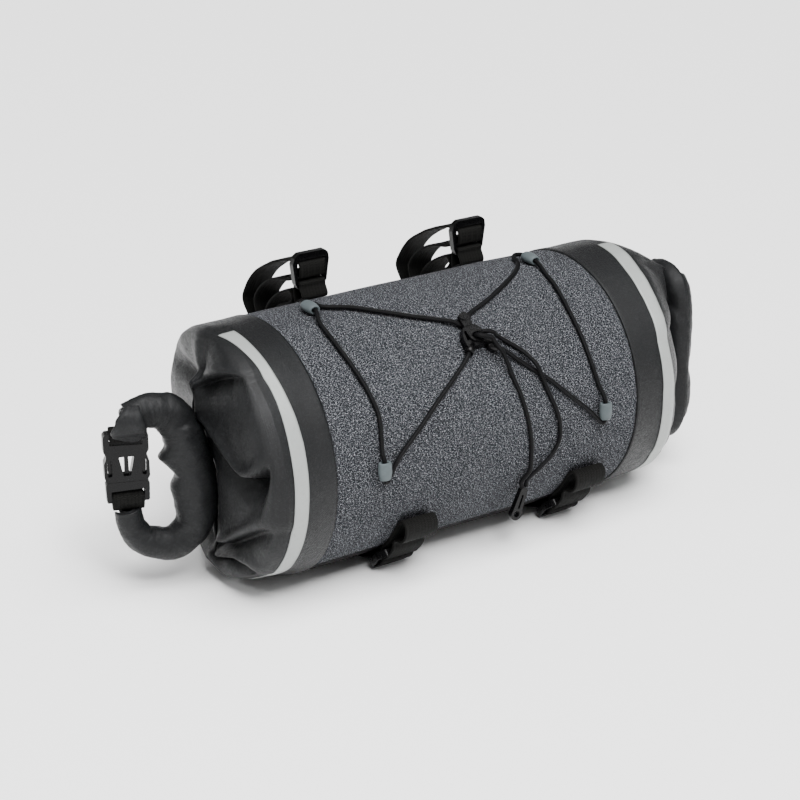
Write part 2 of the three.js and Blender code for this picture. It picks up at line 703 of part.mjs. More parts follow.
for (const [side, { buckleX, tabX }] of Object.entries(straps)) {
  addPiece(`${side}_handlebar_strap`,
    ribbon(handlebarStrapLine(), { x: buckleX, width: handlebarWebbing }), webbing);
  addPiece(`${side}_strap_anchor`,
    ribbon(strapAnchorLine(), { x: buckleX, width: handlebarWebbing, closed: true }), webbing);
  const topSlider = addPiece(`${side}_top_slider`, slider(handlebarWebbing), blackPlastic);
  topSlider.position.set(buckleX, ...topSliderMiddle);
  topSlider.rotation.x = Math.PI / 2;

  addPiece(`${side}_belly_strap`,
    ribbon(bellyStrapLine(), { x: tabX, endX: buckleX, width: bellyWebbing }), webbing);
  addPiece(`${side}_front_tab`,
    ribbon(frontTabLine(), { x: tabX, width: bellyWebbing, closed: true }), webbing);
  const lowSlider = addPiece(`${side}_low_slider`, slider(bellyWebbing), blackPlastic);
  lowSlider.position.set(tabX, ...lowSliderMiddle);
  lowSlider.rotation.x = radians(lowSliderSlope);
}

// Cord lock in the middle of the front: a flat moulding with a hook on top for the cord's upper bend, an
// eyelet that the cord's two ends come out of, and a socket at each lower corner for its lower runs. In its
// own frame X runs along the bag, Y up the fabric, Z straight out, and its origin is the middle of its
// underside.
const lockPlace = { x: 3, angle: 50 };
const lockBridge = 1.9; // plate over the hook's neck
const hookMiddle = [-2.4, 12.8];
const hookHead = 4.2;
const hookNeck = 2.4;
const eyelet = { middle: [-0.1, -2.8], halfWidth: 4.6, halfHeight: 2.5, rim: 1.9, height: 1.4 };
const sockets = {
  left: { mouth: [-10.4, -12.1], heading: 225 },
  right: { mouth: [12, -13.4], heading: -33 },
};
const socketDepth = 5.5;
const straightPast = 3; // how far past a socket's mouth its cord stays straight
const socketWall = 1.4;
const lockOutline = [
  [-3.4, 6], [-7.6, 4.5], [-10.4, -1], [-11, -7.5], [-9.4, -10.5], [-3, -9], [4, -9.5], [9.6, -11.8],
  [11.4, -9.4], [8.6, -3.6], [5.2, 2.4], [2, 6],
];
const lockSlot = [[-8, 2.4], [-8.7, -4.6], [-6.7, -4.6], [-5.9, 2.4]];

// Place on a socket's line in the lock's frame, `past` outside its mouth
function alongSocket({ mouth, heading }, past) {
  const turn = radians(heading);
  return [mouth[0] + past * Math.cos(turn), mouth[1] + past * Math.sin(turn), lockThickness / 2];
}

// Rod along the line that a socket's cord takes, from `inside` within the socket to `outside` past its mouth
function socketRod(socket, radius, inside, outside) {
  const geometry = new THREE.CylinderGeometry(radius, radius, inside + outside, 10);
  geometry.rotateZ(radians(socket.heading) - Math.PI / 2);
  geometry.translate(...alongSocket(socket, (outside - inside) / 2));
  return geometry;
}

function cordLock() {
  const body = plate(lockOutline, [lockSlot], lockThickness).translate(0, 0, lockThickness / 2);
  const bridgeMiddle = lockThickness - lockBridge / 2;
  const bridge = plate([[-5.6, 5.4], [1, 5.4], [1.4, hookMiddle[1]], [-6.2, hookMiddle[1]]], [], lockBridge)
    .translate(0, 0, bridgeMiddle);
  const head = plate(oval(...hookMiddle, hookHead, hookHead, 12), [], lockBridge + 0.8)
    .translate(0, 0, bridgeMiddle + 0.4);
  const neck = plate(oval(...hookMiddle, hookNeck, hookNeck, 10), [], lockThickness - 0.4)
    .translate(0, 0, lockThickness / 2 - 0.2);
  const { middle, halfWidth, halfHeight, rim, height } = eyelet;
  const boss = plate(oval(...middle, halfWidth + rim, halfHeight + rim, 14), [], lockThickness + height)
    .translate(0, 0, (lockThickness + height) / 2);
  const hole = plate(oval(...middle, halfWidth, halfHeight, 14), [], 4 * lockThickness);
  const arms = Object.values(sockets)
    .map((socket) => socketRod(socket, cordRadius + seamGap + socketWall, socketDepth + 2, 0));
  const bores = Object.values(sockets)
    .map((socket) => socketRod(socket, cordRadius + seamGap, socketDepth, straightPast + 1));
  return carve(body, [bridge, head, neck, boss, ...arms], [hole, ...bores]);
}

const lockStation = stationOnTube(lockPlace.x, lockPlace.angle, seamGap + 0.05);
addPiece('cord_lock', cordLock(), blackPlastic, lockStation);

function lockPoint(across, up, out) {
  lockStation.updateWorldMatrix(true, false);
  return lockStation.localToWorld(new THREE.Vector3(across, up, out));
}

// Smooth line whose stations are a step's length apart, or closer where it bends
class CordLine extends THREE.Curve {
  constructor(points, longestStep, sharpestBend) {
    super();
    this.line = new THREE.CatmullRomCurve3(points, false, 'centripetal');
    const fine = spread(0, 1, 40 * points.length);
    this.stations = [0];
    let last = this.line.getPoint(0);
    let heading = this.line.getTangent(0);
    for (const t of fine.slice(1, -1)) {
      const point = this.line.getPoint(t);
      const tangent = this.line.getTangent(t);
      if (point.distanceTo(last) > longestStep || tangent.angleTo(heading) > radians(sharpestBend)) {
        this.stations.push(t);
        last = point;
        heading = tangent;
      }
    }
    this.stations.push(1);
  }

  get steps() {
    return this.stations.length - 1;
  }

  // Place on the smooth line for a share of the stations
  place(share) {
    const position = share * this.steps;
    const before = Math.min(Math.floor(position), this.steps - 1);
    return THREE.MathUtils.lerp(this.stations[before], this.stations[before + 1], position - before);
  }

  getPoint(share) {
    return this.line.getPoint(this.place(share));
  }

  getPointAt(share) {
    return this.getPoint(share);
  }

  getTangentAt(share) {
    return this.line.getTangent(this.place(share));
  }
}

function cord(points, longestStep, sharpestBend) {
  const path = new CordLine(points, longestStep, sharpestBend);
  const section = flatShape(oval(0, 0, cordRadius, cordRadius, 8));
  return new THREE.ExtrudeGeometry(section, { steps: path.steps, bevelEnabled: false, extrudePath: path });
}

function routePoints(rows) {
  return rows.map(([x, angle, height = cordHeight]) => tubePoint(x, angle, height));
}

// The elastic cord's way over the panel, as rows of x, angle and height where it leaves the fabric
const guideHeight = seamGap + guideThickness / 2 + 0.1;
const leftRun = [
  [-75, 10], [-78.2, 4.2, 2], [-79.2, -0.4, 2.4], [-80.8, -3.4, 3], [-83.6, -4.6, 3.6],
  [-86.4, -3.2, guideHeight], [-87, -0.8, guideHeight], [-87, 3.7, guideHeight],
  [-87, 8, guideHeight], [-88, 11.4, 2.9], [-89.6, 15.6],
  [-90, 27], [-91, 38], [-92, 50], [-92, 63], [-90.2, 75.4], [-88.6, 79.2, 2.9], [-88, 82.6, guideHeight],
  [-88, 87, guideHeight], [-88, 91.4, guideHeight], [-87.2, 94, guideHeight], [-84.6, 95.3, 3.6],
  [-82, 94.2, 3], [-80.2, 91.2, 2.4], [-78.2, 88],
];
const rightRun = [
  [77.6, 87], [80.2, 91.2, 2.4], [82, 94.2, 3], [84.6, 95.3, 3.6], [87.2, 94, guideHeight],
  [88, 91.4, guideHeight], [88, 87, guideHeight], [88, 82.6, guideHeight], [87.6, 79.2, 2.9], [86.2, 74],
  [84.6, 65], [82.2, 50], [82.4, 38], [84, 24], [86.6, 14.6], [88.2, 11, 2.9], [89, 7.7, guideHeight],
  [89, 3.4, guideHeight], [89, -0.9, guideHeight], [88.2, -3.4, guideHeight], [85.6, -4.7, 3.6],
  [82.8, -3.5, 3], [81.2, -0.5, 2.4], [80, 4, 2], [76, 8.6],
];
const socketRows = [1 - socketDepth, 0, straightPast];
const hookRow = (across, below) => lockPoint(
  hookMiddle[0] + across, hookMiddle[1] - below, cordRadius + 0.1);
const bungeeRoute = [
  ...socketRows.map((past) => lockPoint(...alongSocket(sockets.left, past))),
  ...routePoints([
    [-19, 33.6], [-39, 25.5], [-57, 18.2], ...leftRun, [-63, 82], [-48, 74.4], [-31.5, 67.4], [-14, 61.6],
  ]),
  hookRow(-5.4, 0.8), hookRow(-3.2, 3.4), hookRow(0, 4.4), hookRow(3.2, 3.4), hookRow(5.6, 0.8),
  ...routePoints([
    [9.6, 60.6], [29, 66], [49, 72.6], [66, 79.6], ...rightRun, [65, 14.6], [48, 24.6], [31, 33.4],
  ]),
  ...[...socketRows].reverse().map((past) => lockPoint(...alongSocket(sockets.right, past))),
];
addPiece('bungee_cord', cord(bungeeRoute, 9.5, 34), elastic);

// Free ends of the cord: out of the lock's eyelet, down over the front and into the clip that joins them
const clipTop = tubePoint(21.6, -22.5, 5.5);
const clipLean = 3; // degrees
const endGap = cordDiameter + 0.5;
const eyeletRise = lockThickness + eyelet.height + cordRadius + 0.8;
const eyeletLeft = eyelet.middle[0] - endGap / 2;
const eyeletRight = eyelet.middle[0] + endGap / 2;
const eyeletUp = eyelet.middle[1];
const freeRoutes = {
  left_pull_cord: [
    lockPoint(eyeletLeft, eyeletUp, 2.4), lockPoint(eyeletLeft, eyeletUp, 7.2),
    lockPoint(eyeletLeft + 0.9, eyeletUp - 1.8, eyeletRise), lockPoint(3, -6.6, eyeletRise + 0.6),
    lockPoint(6.8, -8.2, eyeletRise + 0.2),
    ...routePoints([
      [14, 43.4, 9.2], [17, 40.4, 9.4], [19.6, 36.6, 7], [21.4, 31.6, 2.4], [22.2, 20], [24, 9], [25.4, -1],
      [25.4, -9, 2.6], [24.2, -15.8, 4.6],
    ]),
    clipTop.clone().add(new THREE.Vector3(-endGap / 2 - 0.3, 0, 4.4)),
    clipTop.clone().add(new THREE.Vector3(-endGap / 2, 0, 0.3)),
  ],
  right_pull_cord: [
    lockPoint(eyeletRight, eyeletUp, 2.4), lockPoint(eyeletRight, eyeletUp, 7.2),
    lockPoint(eyeletRight + 1.5, eyeletUp + 0.6, eyeletRise), lockPoint(6.4, -2.4, eyeletRise + 0.5),
    lockPoint(10.6, -3.4, eyeletRise - 0.8),
    ...routePoints([
      [18.4, 46.6, 4.2], [24, 44, 2.2], [31, 39.6], [35.2, 35.2, 3.6], [38.8, 29.8, 5.2], [41.6, 24.4, 3.6],
      [43.8, 19], [46.6, 11], [48, 3], [46.8, -4, 2.2], [40.8, -10.6, 3.6], [32.6, -15.6, 5],
    ]),
    clipTop.clone().add(new THREE.Vector3(endGap / 2 + 0.8, 0, 4.6)),
    clipTop.clone().add(new THREE.Vector3(endGap / 2, 0, 0.3)),
  ],
};
for (const [name, route] of Object.entries(freeRoutes)) {
  freeCordPieces.push(addPiece(name, cord(route, 8, 34), elastic));
}

// Clip on the cord's ends: a flat hook that tapers down to a ring
function cordClip() {
  const wide = clipWidth / 2;
  const ring = clipWidth * 0.54;
  const ringMiddle = -clipLength + ring;
  const lower = spread(-205, 25, 10).map((turn) => [
    ring * Math.cos(radians(turn)), ringMiddle + ring * Math.sin(radians(turn))]);
  const outline = [
    [-wide, -1.2], [-wide, -8], ...lower, [wide, -8], [wide, -1.2], [wide - 1.2, 0], [1.2 - wide, 0],
  ];
  const slit = [[-0.7, -5], [-0.7, ringMiddle + ring], [0.7, ringMiddle + ring], [0.7, -5]];
  return plate(outline, [oval(0, ringMiddle, ring * 0.5, ring * 0.5, 10), slit], clipThickness);
}
const clip = addPiece('cord_end_clip', cordClip(), blackPlastic);
clip.position.copy(clipTop);
clip.rotation.set(Math.PI / 2, 0, radians(clipLean));
freeCordPieces.push(clip);

// The model's origin is the middle of the footprint of all but the free cord, on the surface the bag rests on
bag.updateMatrixWorld(true);
const footprint = new THREE.Box3();
bag.traverse((piece) => {
  if (piece.isMesh && !freeCordPieces.includes(piece)) footprint.expandByObject(piece, true);
});
const middle = footprint.getCenter(new THREE.Vector3());
bag.position.set(-middle.x, -middle.y, -footprint.min.z);

export default bag;
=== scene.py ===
"""Looks of a roll-closure handlebar bag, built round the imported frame: cloth, straps, buckles and cord."""
import bpy
import math
from mathutils import Matrix, Vector, geometry, noise


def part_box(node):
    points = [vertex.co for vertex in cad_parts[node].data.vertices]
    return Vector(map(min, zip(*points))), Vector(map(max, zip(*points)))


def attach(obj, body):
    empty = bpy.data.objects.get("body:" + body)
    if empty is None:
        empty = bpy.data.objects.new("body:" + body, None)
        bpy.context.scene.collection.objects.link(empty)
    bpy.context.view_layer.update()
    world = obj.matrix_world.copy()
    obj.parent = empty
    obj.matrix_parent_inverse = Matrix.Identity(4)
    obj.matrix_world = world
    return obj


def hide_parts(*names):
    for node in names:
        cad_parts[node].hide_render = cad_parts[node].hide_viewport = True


bl_info = {
    "name": "Handlebar bag",
    "version": (1, 0, 0),
    "blender": (4, 5, 0),
    "location": "3D View > Sidebar > Bag",
    "description": "Builds the cloth, straps, buckles and cord of a handlebar bag",
    "category": "Object",
}

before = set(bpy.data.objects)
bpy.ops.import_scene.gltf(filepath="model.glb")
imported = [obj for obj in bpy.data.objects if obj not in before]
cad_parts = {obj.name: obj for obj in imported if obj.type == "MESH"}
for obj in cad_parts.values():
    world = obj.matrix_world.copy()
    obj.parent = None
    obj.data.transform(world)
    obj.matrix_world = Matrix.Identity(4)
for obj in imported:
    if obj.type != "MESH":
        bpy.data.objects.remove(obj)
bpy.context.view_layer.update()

MM = 0.001
BODY = "root"

# Shape of the bag, in millimetres and degrees, as the frame's solids have it
RADIUS = 85.0
HALF_PANEL = 119.5
BELLY_FLAT = 2.5
REST = BELLY_FLAT - RADIUS
LOW_EDGE = -50.0
HIGH_EDGE = 128.0
GAP = 0.3
WEBBING = 1.8
NARROW, WIDE = 20.0, 25.0  # widths of the webbing
LAID = GAP + WEBBING / 2
CORD = 1.5  # radius
CORD_LAID = CORD + GAP + 0.05
ROLL = 13.0
GUIDE_HEIGHT = 3.9
LOCK_THICKNESS = 5.6

# Middle of the front panel, on the axis of the tube, in the frame's metres
FRONT_LOW, FRONT_HIGH = (Vector(corner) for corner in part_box("front_panel"))
AXIS = Vector((
    (FRONT_LOW.x + FRONT_HIGH.x) / 2,
    FRONT_LOW.y + RADIUS * MM,
    Vector(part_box("belly_panel")[0]).z - REST * MM,
))


def lerp(a, b, share):
    return a + (b - a) * share


def smoothstep(share):
    t = min(max(share, 0.0), 1.0)
    return t * t * (3 - 2 * t)


def spread(start, end, count):
    return [lerp(start, end, i / count) for i in range(count + 1)]


def table_value(rows, at, ease=lambda share: share):
    """Value at a place in rows of (place, value), on straight lines between them or eased."""
    if at <= rows[0][0]:
        return rows[0][1]
    for (a, low), (b, high) in zip(rows, rows[1:]):
        if at <= b:
            return lerp(low, high, ease((at - a) / (b - a)))
    return rows[-1][1]


def soft_value(rows, at):
    return table_value(rows, at, smoothstep)


def section(angle, height):
    radius = RADIUS + height
    turn = math.radians(angle)
    return -radius * math.cos(turn), max(radius * math.sin(turn), REST - height)


def place(x, y, z):
    return AXIS + Vector((x, y, z)) * MM


def tube_point(x, angle, height):
    y, z = section(angle, height)
    return place(x, y, z)


def over_tube(rows):
    return [section(angle, height) for angle, height in rows]


def smooth_line(points, steps, closed=False):
    """Centripetal Catmull-Rom line through points, as tuples of any size, steps from each to the next."""
    points = [Vector(p).to_3d() if len(p) == 2 else Vector(p) for p in points]
    count = len(points)
    if closed:
        padded = [points[-1]] + points + [points[0], points[1]]
    else:
        padded = [2 * points[0] - points[1]] + points + [2 * points[-1] - points[-2]]
    line = []
    spans = count if closed else count - 1
    for i in range(spans):
        p0, p1, p2, p3 = padded[i:i + 4]
        d1 = max((p2 - p1).length ** 0.5, 1e-6)
        d0 = (p1 - p0).length ** 0.5 or d1
        d2 = (p3 - p2).length ** 0.5 or d1
        start = ((p1 - p0) / d0 - (p2 - p0) / (d0 + d1) + (p2 - p1) / d1) * d1
        end = ((p2 - p1) / d1 - (p3 - p1) / (d1 + d2) + (p3 - p2) / d2) * d1
        for k in range(steps):
            t = k / steps
            line.append(p1 * (2 * t ** 3 - 3 * t ** 2 + 1) + start * (t ** 3 - 2 * t ** 2 + t)
                        + p2 * (3 * t ** 2 - 2 * t ** 3) + end * (t ** 3 - t ** 2))
    if not closed:
        line.append(points[-1])
    return line


# Mesh helpers

def add_object(name, verts, faces, corner_uvs, finish):
    mesh = bpy.data.meshes.new(name)
    mesh.from_pydata([tuple(v) for v in verts], [], faces)
    if corner_uvs:
        layer = mesh.uv_layers.new(name="cloth_mm")
        for corner, uv in zip(layer.data, (uv for uvs in corner_uvs for uv in uvs)):
            corner.uv = uv
    mesh.polygons.foreach_set("use_smooth", [True] * len(mesh.polygons))
    mesh.validate()
    mesh.update()
    mesh.materials.append(finish)
    piece = bpy.data.objects.new(name, mesh)
    bpy.context.scene.collection.objects.link(piece)
    return piece


def facing_out(piece):
    """Turns the whole mesh over if it faces inward."""
    mesh = piece.data
    volume = 0.0
    for polygon in mesh.polygons:
        corners = [mesh.vertices[i].co for i in polygon.vertices]
        for b, c in zip(corners[1:], corners[2:]):
            volume += corners[0].dot(b.cross(c))
    if volume < 0:
        mesh.flip_normals()
    return piece


def grid_shell(name, outer, inner, wraps, finish, across, along):
    """Closed shell between two grids of points. across and along are the grids' own sizes in millimetres."""
    rows, columns = len(outer), len(outer[0])
    spans = columns if wraps else columns - 1
    faces, uvs = [], []

    def add_face(corners):
        """Face through corners of (row, column, layer); the column after the last one is the first again."""
        faces.append([(layer * rows + i) * columns + j % columns for i, j, layer in corners])
        uvs.append([(across[j], along[i]) for i, j, layer in corners])

    for i in range(rows - 1):
        for j in range(spans):
            add_face([(i, j, 0), (i, j + 1, 0), (i + 1, j + 1, 0), (i + 1, j, 0)])
            add_face([(i + 1, j, 1), (i + 1, j + 1, 1), (i, j + 1, 1), (i, j, 1)])
        for j, turn in () if wraps else ((0, 1), (columns - 1, -1)):
            add_face([(i, j, 0), (i + 1, j, 0), (i + 1, j, 1), (i, j, 1)][::turn])
    for j in range(spans):
        for i, turn in ((0, 1), (rows - 1, -1)):
            add_face([(i, j, 0), (i, j, 1), (i, j + 1, 1), (i, j + 1, 0)][::turn])
    verts = [point for grid in (outer, inner) for row in grid for point in row]
    return facing_out(add_object(name, verts, faces, uvs, finish))


def tube(name, rings, finish, round_size, along, closed=False):
    """Solid through rings of points. round_size is the length round a ring and along each ring's place."""
    count, sides = len(rings), len(rings[0])
    verts = [p for ring in rings for p in ring]
    faces, uvs = [], []
    for i in range(count if closed else count - 1):
        n = (i + 1) % count
        for j in range(sides):
            k = (j + 1) % sides
            faces.append((i * sides + j, i * sides + k, n * sides + k, n * sides + j))
            u0, u1 = round_size * j / sides, round_size * (j + 1) / sides
            uvs.append([(u0, along[i]), (u1, along[i]), (u1, along[i + 1]), (u0, along[i + 1])])
    if not closed:
        for start, turn in ((0, -1), ((count - 1) * sides, 1)):
            ring = list(range(start, start + sides))[::turn]
            for corners in geometry.tessellate_polygon([[verts[i] for i in ring]]):
                faces.append([ring[corner] for corner in corners])
                uvs.append([(0.0, 0.0)] * 3)
    return facing_out(add_object(name, verts, faces, uvs, finish))


def running_lengths(points, closed=False):
    lengths = [0.0]
    for a, b in zip(points, points[1:]):
        lengths.append(lengths[-1] + (b - a).length)
    if closed:
        lengths.append(lengths[-1] + (points[0] - points[-1]).length)
    return lengths


def oval(x, y, half_width, half_height, sides):
    return [(x + half_width * math.cos(turn), y + half_height * math.sin(turn))
            for turn in spread(0, 2 * math.pi, sides)[:-1]]


def arc(x, y, radius, start, end, steps):
    return [(x + radius * math.cos(math.radians(turn)), y + radius * math.sin(math.radians(turn)))
            for turn in spread(start, end, steps)]


def rounded_strip(width):
    """Section of webbing: a flat strip with rounded edges, as (across, out) in millimetres."""
    edge = WEBBING * 0.42
    reach, rise = width / 2 - edge, WEBBING / 2 - edge
    flat = [(share * reach, WEBBING / 2) for share in spread(1, -1, 10)[1:-1]]
    half = [*arc(reach, rise, edge, 0, 90, 3), *flat, *arc(-reach, rise, edge, 90, 180, 3)]
    return half + [(-x, -y) for x, y in half]


def ribbon(name, line, x, width, end_x=None, closed=False, ripple=0.0, matrix=None):
    """Webbing along a line of (y, z) millimetres from the bag's axis, its middle going from x to end_x."""
    end_x = x if end_x is None else end_x
    points = [Vector(p) for p in line]
    last = len(points) - 1
    lengths = running_lengths(points, closed)
    rings = []
    for i, point in enumerate(points):
        before = points[i - 1 if closed else max(i - 1, 0)]
        after = points[(i + 1) % (last + 1) if closed else min(i + 1, last)]
        heading = (after - before).normalized()
        normal = Vector((-heading.y, heading.x))
        middle = lerp(x, end_x, smoothstep(lengths[i] / lengths[last]))
        ring = []
        for across, out in rounded_strip(width):
            wave = ripple * noise.noise(Vector((across * 0.09 + x, lengths[i] * 0.11, 3.1)))
            ring.append(Vector((middle + across, *(point + normal * (out + wave)))) * MM)
        rings.append(ring)
    piece = tube(name, rings, FINISHES["woven webbing"], 2 * (width + WEBBING), lengths, closed)
    piece.data.transform(matrix or Matrix.Translation(AXIS))
    return piece


def cord_tube(name, line, finish):
    """Round cord along points in metres."""
    last = len(line) - 1
    tangents = [(line[min(i + 1, last)] - line[max(i - 1, 0)]).normalized() for i in range(last + 1)]
    normal = tangents[0].orthogonal().normalized()
    rings = []
    for i, point in enumerate(line):
        if i:
            axis_turn = tangents[i - 1].cross(tangents[i])
            if axis_turn.length > 1e-9:
                angle = tangents[i - 1].angle(tangents[i])
                normal = Matrix.Rotation(angle, 3, axis_turn.normalized()) @ normal
            normal = (normal - tangents[i] * normal.dot(tangents[i])).normalized()
        side = tangents[i].cross(normal)
        rings.append([point + (normal * a + side * b) * MM for a, b in oval(0, 0, CORD, CORD, 12)])
    along = [length / MM for length in running_lengths(line)]
    return tube(name, rings, finish, 2 * math.pi * CORD, along)


def mirrored(points):
    """Right half of an outline and its mirror image."""
    return points + [(-x, y, *rest) for x, y, *rest in reversed(points)]


def rounded_outline(points, radius):
    """Outline with its corners rounded; a point's third value is a radius of its own."""
    outline = []
    for i, (x, y, *rest) in enumerate(points):
        here = Vector((x, y))
        a, b = Vector(points[i - 1][:2]) - here, Vector(points[(i + 1) % len(points)][:2]) - here
        half = max(a.angle(b) / 2, 1e-3)
        own = rest[0] if rest else radius
        reach = min(own / math.tan(half), 0.48 * a.length, 0.48 * b.length)
        if reach < 1e-3 or math.degrees(half) > 88:
            outline.append((x, y))
            continue
        start, end = here + a.normalized() * reach, here + b.normalized() * reach
        for t in spread(0, 1, 4):
            outline.append(tuple(start * (1 - t) ** 2 + here * 2 * t * (1 - t) + end * t ** 2))
    return outline


def moulding(name, outline, holes, low, high, matrix, edge, bend=None):
    """Black plate between two heights, its edges rounded; bend gives each point a new place."""
    loops = [[Vector((x, y, 0)) for x, y in loop] for loop in (outline, *holes)]
    flat = [point for loop in loops for point in loop]
    shift = len(flat)
    faces = []
    for a, b, c in geometry.tessellate_polygon(loops):
        if (flat[b] - flat[a]).cross(flat[c] - flat[a]).z <= 0:
            b, c = c, b
        faces.append((a + shift, b + shift, c + shift))
        faces.append((c, b, a))
    start = 0
    for number, loop in enumerate(loops):
        count = len(loop)
        area = sum(loop[i - 1].cross(loop[i]).z for i in range(count))
        turned = (area > 0) == (number == 0)
        for i in range(count):
            a, b = start + i, start + (i + 1) % count
            faces.append((a, b, b + shift, a + shift) if turned else (b, a, a + shift, b + shift))
        start += count
    verts = [Vector((p.x, p.y, height)) * MM for height in (low, high) for p in flat]
    piece = add_object(name, verts, faces, None, FINISHES["black plastic"])
    bevel = piece.modifiers.new("rounded edges", "BEVEL")
    bevel.width = edge * MM
    bevel.segments = 3
    bevel.limit_method = "ANGLE"
    bevel.angle_limit = math.radians(38)
    bevel.harden_normals = True
    if bend:
        bake(piece)
        for vertex in piece.data.vertices:
            vertex.co = Vector(bend(*(vertex.co / MM))) * MM
    piece.data.transform(matrix)
    return piece


def bake(piece):
    """Applies the piece's modifiers to its mesh."""
    graph = bpy.context.evaluated_depsgraph_get()
    mesh = bpy.data.meshes.new_from_object(piece.evaluated_get(graph))
    piece.modifiers.clear()
    piece.data = mesh
    return piece


def join(name, pieces):
    """Joins pieces, their modifiers applied, into one mesh."""
    for piece in pieces:
        if piece.modifiers:
            bake(piece)
    with bpy.context.temp_override(active_object=pieces[0], object=pieces[0], selected_objects=pieces,
                                   selected_editable_objects=pieces):
        bpy.ops.object.join()
    pieces[0].name = name
    pieces[0].data.name = name
    return pieces[0]


def ready(piece, slot, *nodes):
    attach(piece, BODY)
    if nodes:
        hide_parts(*nodes)
    return piece


def matrix_of(origin, x_axis, y_axis, z_axis):
    columns = Matrix((x_axis, y_axis, z_axis)).transposed().to_4x4()
    return Matrix.Translation(origin) @ columns


def station(x, angle, height):
    """Matrix of a place on the tube: X along the bag, Y up the fabric, Z straight out."""
    turn = math.radians(angle)
    out = Vector((0, -math.cos(turn), math.sin(turn)))
    up = Vector((0, math.sin(turn), math.cos(turn)))
    return matrix_of(tube_point(x, angle, height), Vector((1, 0, 0)), up, out)


# Finishes

class Wiring:
    """Short calls for the nodes of one tree."""

    def __init__(self, tree):
        self.tree = tree

    def new(self, kind, **values):
        node = self.tree.nodes.new(kind)
        for key, value in values.items():
            setattr(node, key, value)
        return node

    def feed(self, socket, value):
        if isinstance(value, bpy.types.NodeSocket):
            self.tree.links.new(value, socket)
        else:
            socket.default_value = value

    def fed(self, kind, given, output=0, **values):
        """Output of a new node whose inputs, by place or name, take what is given."""
        node = self.new(kind, **values)
        for key, value in given.items():
            self.feed(node.inputs[key], value)
        return node.outputs[output]

    def math(self, operation, a, b=0.0):
        return self.fed("ShaderNodeMath", {0: a, 1: b}, operation=operation)

    def times(self, a, b):
        return self.math("MULTIPLY", a, b)

    def plus(self, a, b):
        return self.math("ADD", a, b)

    def over(self, a, b):
        return self.math("DIVIDE", a, b)

    def humps(self, value):
        """Row of rounded humps, each one wide."""
        return self.math("ABSOLUTE", self.math("SINE", self.times(value, math.pi)))

    def span(self, value, low, high, to_low=0.0, to_high=1.0):
        return self.fed("ShaderNodeMapRange", {0: value, 1: low, 2: high, 3: to_low, 4: to_high})

    def noise(self, vector, scale, detail=2.0, roughness=0.5, distortion=0.0):
        return self.fed("ShaderNodeTexNoise", {"Vector": vector, "Scale": scale, "Detail": detail,
                                               "Roughness": roughness, "Distortion": distortion})

    def colour(self, factor, a, b):
        return self.fed("ShaderNodeMix", {0: factor, 6: a, 7: b}, output=2, data_type="RGBA")

    def number(self, factor, a, b):
        return self.fed("ShaderNodeMix", {0: factor, 2: a, 3: b}, data_type="FLOAT")

    def join_xyz(self, x, y, z=0.0):
        return self.fed("ShaderNodeCombineXYZ", {0: x, 1: y, 2: z})

    def group(self, effect_name, **values):
        node = self.new("ShaderNodeGroup", node_tree=EFFECTS[effect_name])
        for key, value in values.items():
            self.feed(node.inputs[key], value)
        return node.outputs

    def shade(self, spot, scale):
        return self.group("mottle", Place=spot, Scale=scale)["Value"]

    def mottled(self, spot, scale, colour, dark, light):
        """Colour that drifts between two shades of itself."""
        return self.colour(self.shade(spot, scale), tinted(colour, dark), tinted(colour, light))

    def cloth_place(self):
        """Across and along on the cloth, in millimetres, from the piece's own map."""
        split = self.new("ShaderNodeSeparateXYZ")
        self.feed(split.inputs[0], self.new("ShaderNodeUVMap", uv_map="cloth_mm").outputs[0])
        return split.outputs[0], split.outputs[1]

    def threads(self, pitch):
        across, along = self.cloth_place()
        return self.group("weave", Across=across, Along=along, Pitch=pitch)["Height"]


def effect(name, inputs, outputs, build):
    """Shader node group with float inputs and outputs, made once."""
    tree = bpy.data.node_groups.new(name, "ShaderNodeTree")
    for label, default in inputs:
        kind = "NodeSocketVector" if default is None else "NodeSocketFloat"
        socket = tree.interface.new_socket(label, in_out="INPUT", socket_type=kind)
        if default is not None:
            socket.default_value = default
    for label in outputs:
        tree.interface.new_socket(label, in_out="OUTPUT", socket_type="NodeSocketFloat")
    wires = Wiring(tree)
    source, target = wires.new("NodeGroupInput"), wires.new("NodeGroupOutput")
    for label, value in build(wires, source.outputs).items():
        wires.feed(target.inputs[label], value)
    return tree


def plain_weave(w, given):
    """Threads going over and under each other, a pitch apart."""
    across, along = w.over(given["Across"], given["Pitch"]), w.over(given["Along"], given["Pitch"])
    checker = w.math("FLOORED_MODULO", w.plus(w.math("FLOOR", across), w.math("FLOOR", along)), 2.0)
    return {"Height": w.number(checker, w.humps(across), w.humps(along))}


def fleck(w, given):
    """Short light and dark fibres of a melange cloth, lying straight and slanted."""
    across, along, length, width = (given[label] for label in ("Across", "Along", "Length", "Width"))
    level = w.noise(w.join_xyz(w.over(across, length), w.over(along, width)), 1.0, 2.0, 0.7, 0.25)
    slant = 0.7
    turned_across = w.over(w.plus(across, w.times(along, slant)), w.times(length, 1.3))
    turned_along = w.over(w.math("SUBTRACT", along, w.times(across, slant)), w.times(width, 1.2))
    slanted = w.noise(w.join_xyz(turned_across, turned_along, 7.0), 1.0, 2.0, 0.7, 0.2)
    highest = w.math("MAXIMUM", level, slanted)
    return {"Light": w.span(highest, 0.595, 0.7),
            "Dark": w.span(w.math("MINIMUM", level, slanted), 0.44, 0.3), "Level": highest}


def mottle(w, given):
    """Slow change of shade over a cloth."""
    return {"Value": w.span(w.noise(given["Place"], given["Scale"], 3.0, 0.55), 0.3, 0.7)}


